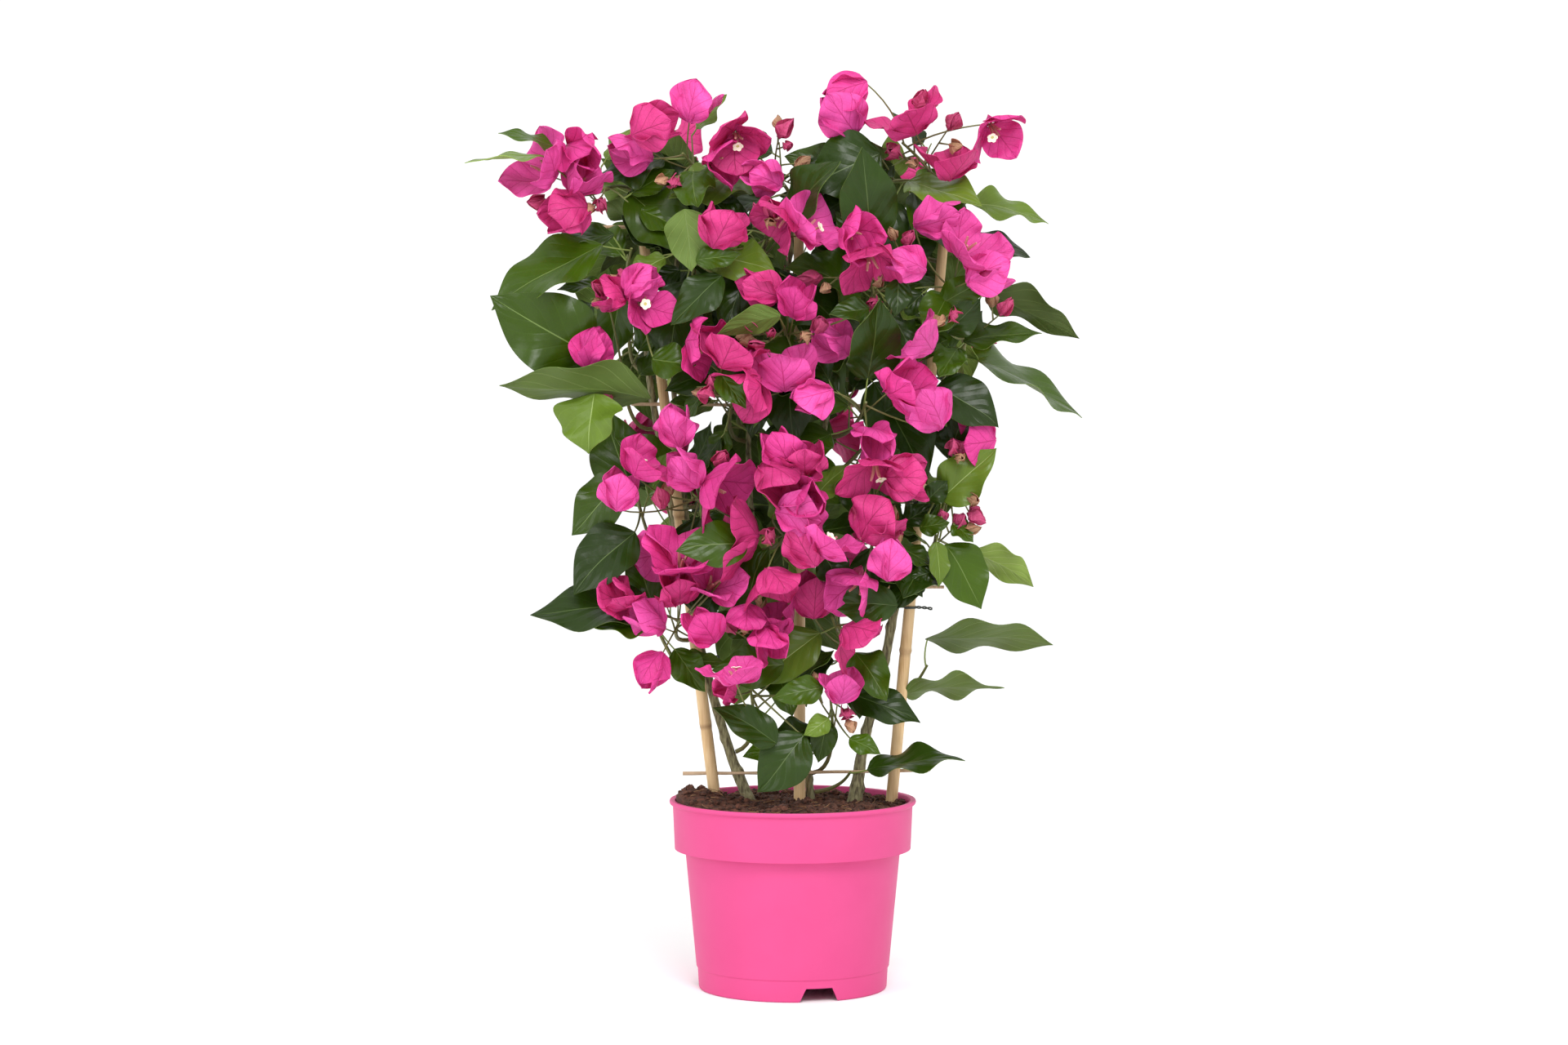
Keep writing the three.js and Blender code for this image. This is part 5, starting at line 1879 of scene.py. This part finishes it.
class Foliage:
    """All that grows on the limbs: twigs, leaves, heads of bracts, buds and flowers."""

    STALK_LONG = 30.0  # a stalk over this is as thick and as brown as a twig
    STEM, STEM_TIP, LONG_STALK, STALK, STALK_TIP = 1.6, 0.9, 0.95, 0.7, 0.5  # radii
    BROWN, RIPENING, GREEN = 0.15, 0.25, 0.7  # ages of stems, of long leaf stalks and of short ones
    STAR_RADIUS = 3.8
    MOST_OPEN, SHUTNESS = 0.9, 1.7  # how open a head can be, and the power that keeps most of them shut
    TUBES_SHOW, STAR_SHOWS, STAR_ODDS = 0.2, 0.3, 9  # how open a head is when its tubes or a star show
    YOUNG_SHARE, YOUNG_TWIG_SHARE = 0.1, 0.16  # of a shoot's leaves, and of its fine twigs' leaves
    SMALL_SLIM = 0.58  # a small leaf's width to its length

    def __init__(self, shoots: Sequence[Shoot]) -> None:
        """Starts the sprays that the shoots are dealt into."""
        self.shoots = shoots
        self.twigs = Spray("twigs", "bark", GREEN_WOOD)
        self.leaf_sprays = {
            tone: Spray(f"leaves_{tone.value}", "leaves", *tone.finishes) for tone in LeafTone
        }
        self.bract_sprays = {
            tone: Spray(f"bracts_{tone.value}", "bracts", tone.paper) for tone in BractTone
        }
        self.buds = self.bract_sprays.pop(BractTone.SHUT)
        self.young_buds = self.bract_sprays.pop(BractTone.PALE)
        self.flowers = Spray("flowers", "bracts", STAR, TUBE, THROAT)
        self.big_blade = blade_shape((-1, -0.72, -0.36, -0.016, 0.016, 0.36, 0.72, 1), 26)
        self.small_blade = blade_shape((-1, -0.5, -0.025, 0.025, 0.5, 1), 16)
        self.bract_blade = blade_shape((-1, -0.75, -0.4, 0, 0.4, 0.75, 1), 18)
        self.stem_tube = tube_shape(7, 14)
        self.stalk_tube = tube_shape(5, 6)
        self.bud_blade = blade_shape((-1, -0.5, 0, 0.5, 1), 6)
        self.star = star_shape()
        self.leaf_form = LeafForm()
        self.bract_form = BractForm()
        self.bud_form = BractForm(20.0, 0.74, 0.27, -0.07, 0.22, 0.1, 0.015)

    def twig(self, path: Path, thick: float, thin: float, age: float, fine: bool = True) -> None:
        """Adds one twig along a path, from thick to thin, of an age from 0 for brown to 1 for green."""
        tube = self.stalk_tube if fine else self.stem_tube
        places = along_path(tube, path, lambda s: thick + (thin - thick) * s)
        self.twigs.add(tube, places, np.clip(age + 0.25 * tube.spots[:, 2], 0, 1))

    def leaf(self, leaf: Leaf, tone: LeafTone, name: str, small: bool = False) -> None:
        """Adds a leaf's blade and its stalk.

        Args:
            leaf: The leaf.
            tone: Its green.
            name: The shoot's node.
            small: Whether the blade may have fewer faces.
        """
        shape = self.small_blade if small else self.big_blade
        dice = Dice(leaf.seed * 13 + 1)
        spray = self.leaf_sprays[tone]
        spray.add(shape, self.leaf_form.points(shape, leaf), dice())
        spray.nodes.add(name)
        sag = vec(0, 0, -0.08 * float(np.linalg.norm(leaf.base - leaf.root)))
        inside = leaf.base + leaf.along * 1.5
        bowed = bend(leaf.root, (leaf.root + leaf.base) / 2 + sag - leaf.along * 2, inside)
        long = bowed.length > self.STALK_LONG
        thick, age = (self.LONG_STALK, self.RIPENING) if long else (self.STALK, self.GREEN)
        self.twig(bowed, thick, self.STALK_TIP, age)

    @staticmethod
    def tone_of(seed: int, young: float) -> LeafTone:
        """The green dealt to a leaf: a share of them young, a few deep as painted shade."""
        number = Dice(seed * 31 + 5)()
        # a leaf that sits in shade gets the deep green as painted shade
        if seed in SHADE_PAINTED_LEAVES:
            return LeafTone.DEEP
        if number < young:
            return LeafTone.YOUNG
        return LeafTone.DEEP if number < young + (1 - young) * 0.5 else LeafTone.FULL

    @staticmethod
    def posed(bloom: Bloom, out: Vec, share: float) -> Bloom:
        """The head as it hangs: most nod aside in place, so that one bract's back faces out.

        Args:
            bloom: The head as the rule has it.
            out: The way its shoot faces.
            share: How large its shoot's heads are.

        Returns:
            The head, with its beside direction where its first bract opens.
        """
        dice = Dice(bloom.seed * 29 + 7)
        grown = bloom.size * share * (HIGH_SHARE if bloom.spot[2] > HIGH_UP else LOW_SHARE)
        if dice() > NODDING:
            return replace(bloom, size=grown, beside=np.cross(bloom.beside, bloom.axis))
        angle = dice.angle()
        aside = vec(math.cos(angle), 0, math.sin(angle) + 0.35)
        axis = unit(bloom.axis * dice.between(0.05, 0.75) + aside)
        middle = bloom.spot + bloom.axis * HEAD_MIDDLE * bloom.size
        first = turned(square(out + UP * 0.2, axis), axis, dice.between(-0.6, 0.6))
        return replace(bloom, spot=middle - axis * HEAD_HANG * grown, axis=axis, beside=first, size=grown)

    def head(self, bloom: Bloom, name: str, tone: BractTone) -> None:
        """Adds one open head: three bracts round three flower tubes.

        Args:
            bloom: The head, posed.
            name: The shoot's node.
            tone: Its pink.
        """
        dice = Dice(bloom.seed * 17 + 11)
        spray = self.bract_sprays[tone]
        spray.nodes.add(name)
        wide = dice() ** self.SHUTNESS * self.MOST_OPEN
        opened = int(dice() * self.STAR_ODDS) if wide > self.STAR_SHOWS else self.STAR_ODDS
        for k in range(3):
            way = turned(bloom.beside, bloom.axis, k * 2 * math.pi / 3 + dice.between(-0.16, 0.16))
            places = self.bract_form.points(self.bract_blade, bloom, way, wide, bloom.seed * 19 + k)
            spray.add(self.bract_blade, places, dice())
            if wide > self.TUBES_SHOW:
                self.flower(bloom, way, opened == k, dice)

    def flower(self, bloom: Bloom, way: Vec, is_open: bool, dice: Dice) -> None:
        """Adds one flower: a slim tube that leans on its bract, with a cream star if it is open."""
        start = bloom.spot + way
        top = bloom.spot + (bloom.axis * dice.between(11, 16) + way * dice.between(3, 5)) * bloom.size
        path = bend(start, start + bloom.axis * 8, top)
        tube = self.stalk_tube
        self.flowers.add(tube, along_path(tube, path, lambda s: 0.7 + 0.4 * np.sin(3 * s)), zone=1)
        if is_open:
            facing = unit(bloom.axis + way * 0.25)
            side = square(way, facing)
            third = np.cross(facing, side)
            x, y, z = self.star.spots.T
            cupped = (x * x + y * y) * 1.1 + (z - 0.5) * 0.5
            spread = side * x[:, None] * self.STAR_RADIUS + third * y[:, None] * self.STAR_RADIUS
            places = top + spread + facing * cupped[:, None]
            self.flowers.add(self.star, places)

    def bud(self, bloom: Bloom, name: str, young: bool = False) -> None:
        """Adds one shut bud: three small bracts folded round one another, paler if it is young."""
        spray = self.young_buds if young else self.buds
        spray.nodes.add(name)
        shade = Dice(bloom.seed)()
        for k in range(3):
            way = turned(bloom.beside, bloom.axis, k * 2 * math.pi / 3)
            places = self.bud_form.points(self.bud_blade, bloom, way, 0.0, bloom.seed * 19 + k)
            spray.add(self.bud_blade, places, shade)

    def stalk(self, bloom: Bloom) -> None:
        """Adds the stalk of a head or a bud, arched as it hangs."""
        span = bloom.spot - bloom.root
        middle = (bloom.root + bloom.spot) / 2 - bloom.axis * 0.16 * float(np.linalg.norm(span))
        path = bend(bloom.root, middle, bloom.spot + bloom.axis)
        self.twig(path, self.STALK, self.STALK_TIP, self.BROWN)

    def fine_twigs(self, shoot: Shoot) -> None:
        """Carries the rule on: short twigs off the shoot's stem, each with small leaves."""
        size = shoot.size
        count = 4 + size.leaves // 2
        for k in range(count):
            dice = Dice(shoot.seed(Seed.TWIG, k))
            root = shoot.path.point(0.22 + 0.75 * (k + 0.5) / count)
            angle = k * GOLDEN + size.turn + 0.7
            way = unit(vec(math.cos(angle), 0, math.sin(angle) * 0.9) + shoot.out * dice.between(-0.35, 0.35))
            tip = root + way * dice.between(12, 30)
            path = bend(root, root + way * 8 + UP * 3, tip)
            grown = 0
            for j, share in enumerate((1.0, 0.62)):
                base = path.point(share)
                aside = turned(way, shoot.out, dice.between(-0.9, 0.9) + (0.5 if j else 0))
                length = dice.between(26, 48) * (1 if j == 0 else 0.85)
                face = square(shoot.out * 0.7 + UP * dice.between(0.3, 1.1), aside)
                seed = shoot.seed(Seed.SMALL_LEAF, 2 * k + j)
                leaf = Leaf(base, base + aside * 6, aside, face, length, length * self.SMALL_SLIM, seed)
                if shoot.holds(leaf):
                    self.leaf(leaf, self.tone_of(leaf.seed, self.YOUNG_TWIG_SHARE), shoot.name, small=True)
                    grown += 1
            if grown:
                self.twig(path, 0.8, 0.45, 0.3)

    def companions(self, shoot: Shoot, bloom: Bloom) -> None:
        """Adds the smaller buds that share a bud's stalk."""
        dice = Dice(bloom.seed * 23 + 9)
        for k in range(1 + int(dice() * 2)):
            aside = turned(square(shoot.out + UP * 0.4, bloom.axis), bloom.axis, dice.angle())
            root = bloom.root + (bloom.spot - bloom.root) * dice.between(0.6, 0.85)
            axis = unit(bloom.axis + aside * 0.9)
            spot = root + axis * dice.between(7, 12)
            size = dice.between(0.5, 0.8)
            small = Bloom(root, spot, axis, square(aside, axis), size, True, bloom.seed * 3 + k)
            self.bud(small, shoot.name, young=k == 0)
            self.stalk(small)

    def grow(self) -> None:
        """Grows every shoot into the sprays."""
        for shoot in self.shoots:
            self.twig(shoot.path, self.STEM, self.STEM_TIP, self.BROWN, fine=False)
            self.twigs.nodes.add(shoot.name)
            kept = [leaf if is_clear(leaf) else leaf.shrunk(TIGHT_LEAF) for leaf in shoot.leaves]
            seen = SEEN_LEAVES.get(shoot.name, ())
            for leaf in shoot.far_leaves:
                if seen:
                    look = seen[leaf.seed % 100]
                    self.leaf(leaf.hung(look, shoot.out), look.tone, shoot.name)
                else:
                    self.leaf(leaf, self.tone_of(leaf.seed, self.YOUNG_SHARE), shoot.name)
            for j, look in enumerate(seen[len(shoot.size.tips):]):
                root = shoot.path.point(SEEN_ROOT)
                fresh = Leaf(root, root, shoot.out, UP, 1.0, 1.0, shoot.seed(Seed.SEEN_LEAF, j))
                self.leaf(fresh.hung(look, shoot.out), look.tone, shoot.name)
            for leaf in kept:
                self.leaf(leaf, self.tone_of(leaf.seed, self.YOUNG_SHARE), shoot.name)
            for bloom in shoot.blooms:
                bloom = bloom if bloom.shut else self.posed(bloom, shoot.out, GROWN.get(shoot.name, 1.0))
                self.stalk(bloom)
                if bloom.shut:
                    self.bud(bloom, shoot.name)
                    self.companions(shoot, bloom)
                else:
                    tone = list(self.bract_sprays)[int(Dice(bloom.seed + 50)() * 3)]
                    self.head(bloom, shoot.name, tone)
            self.fine_twigs(shoot)

    def build(self) -> None:
        """Joins each kind into its piece."""
        for spray in (*self.leaf_sprays.values(), *self.bract_sprays.values(), self.twigs, self.buds,
                      self.young_buds, self.flowers):
            spray.build()


# ---- studio --------------------------------------------------------------------------------------


@dataclass
class Studio:
    """A white sweep under soft light, and the camera."""

    floor_half: float = 30.0
    sky: float = 1.08
    key: float = 42.0
    aim: tuple[float, float, float] = (0, 0, 0.33)  # the spot in metres that the lamps point at

    def floor(self) -> None:
        """A plain pale floor."""
        bm = bmesh.new()
        bmesh.ops.create_grid(bm, x_segments=1, y_segments=1, size=self.floor_half / MM)
        bmesh.ops.translate(bm, vec=(0, 0, -0.2), verts=bm.verts[:])
        mesh = mesh_from(bm, "floor")
        mesh.materials.append(Plain("matt_white_board", "#fbfbfb", "#f7f7f7", 0.9, 60.0, 0.0).material())
        put("floor", mesh)

    def lights(self) -> None:
        """An even white surround with one broad lamp high in front and a weaker one from the left."""
        world = bpy.data.worlds.new("white_surround")
        world.use_nodes = True
        world.node_tree.nodes.clear()
        white = {"Color": (1, 1, 1, 1), "Strength": self.sky}
        around = add_node(world.node_tree, "ShaderNodeBackground", white)
        add_node(world.node_tree, "ShaderNodeOutputWorld", {"Surface": around.outputs["Background"]})
        bpy.context.scene.world = world
        for name, place, size, power in (
            ("key", (0.35, -2.0, 2.1), 1.2, self.key), ("fill", (-1.6, -1.7, 1.1), 1.4, self.key * 0.35),
        ):
            lamp = bpy.data.lights.new(name, "AREA")
            lamp.shape = "DISK"
            lamp.size = size
            lamp.energy = power
            holder = put(name, lamp)
            holder.location = place
            holder.rotation_euler = (Vector(self.aim) - Vector(place)).to_track_quat("-Z", "Y").to_euler()

    def camera(self) -> None:
        """The camera, level with the plant's middle and looking slightly down."""
        data = bpy.data.cameras.new("camera")
        data.lens = VIEW.lens
        data.sensor_width = VIEW.sensor
        data.clip_end = 100
        holder = put("camera", data)
        holder.location = vec(*VIEW.eye) * MM
        holder.rotation_euler = (math.radians(90 - VIEW.dip), 0, 0)
        bpy.context.scene.camera = holder

    def build(self) -> None:
        """Sets up floor, lights, camera and an unshifted picture."""
        self.floor()
        self.lights()
        self.camera()
        bpy.context.scene.view_settings.view_transform = "Standard"


def main() -> None:
    """Builds the plant on its rack in its pot, and the studio round it."""
    logging.basicConfig(level=logging.INFO, format="%(name)s: %(message)s")
    bpy.context.view_layer.update()
    pot = Pot()
    pot.build()
    bed = PeatBed(pot)
    bed.bed()
    bed.crumbs()
    canes = {name: Cane(name, size) for name, size in CANES.items()}
    for cane in canes.values():
        cane.build()
    for seed, (name, (low, high)) in enumerate(BARS.items()):
        SplitBar(name, low, high, seed=seed).build()
    limbs = grow_limbs()
    for limb in limbs.values():
        limb.build()
    for name, (cane_name, limb_name, height) in TIES.items():
        Tie(name, canes[cane_name], limbs[limb_name], height).build()
    shoots = [Shoot(name, i + 1, limbs) for i, name in enumerate(SHOOTS)]
    stand = sum(len(s.blooms) + len(s.far_leaves) + len(s.leaves) for s in shoots)
    wanted = sum(s.size.heads + s.size.buds + s.size.leaves + len(s.size.tips) for s in shoots)
    log.info("%d of %d leaves and blooms stand", stand, wanted)
    foliage = Foliage(shoots)
    foliage.grow()
    foliage.build()
    Studio().build()
    bpy.context.view_layer.update()


if __name__ == "__main__":
    main()
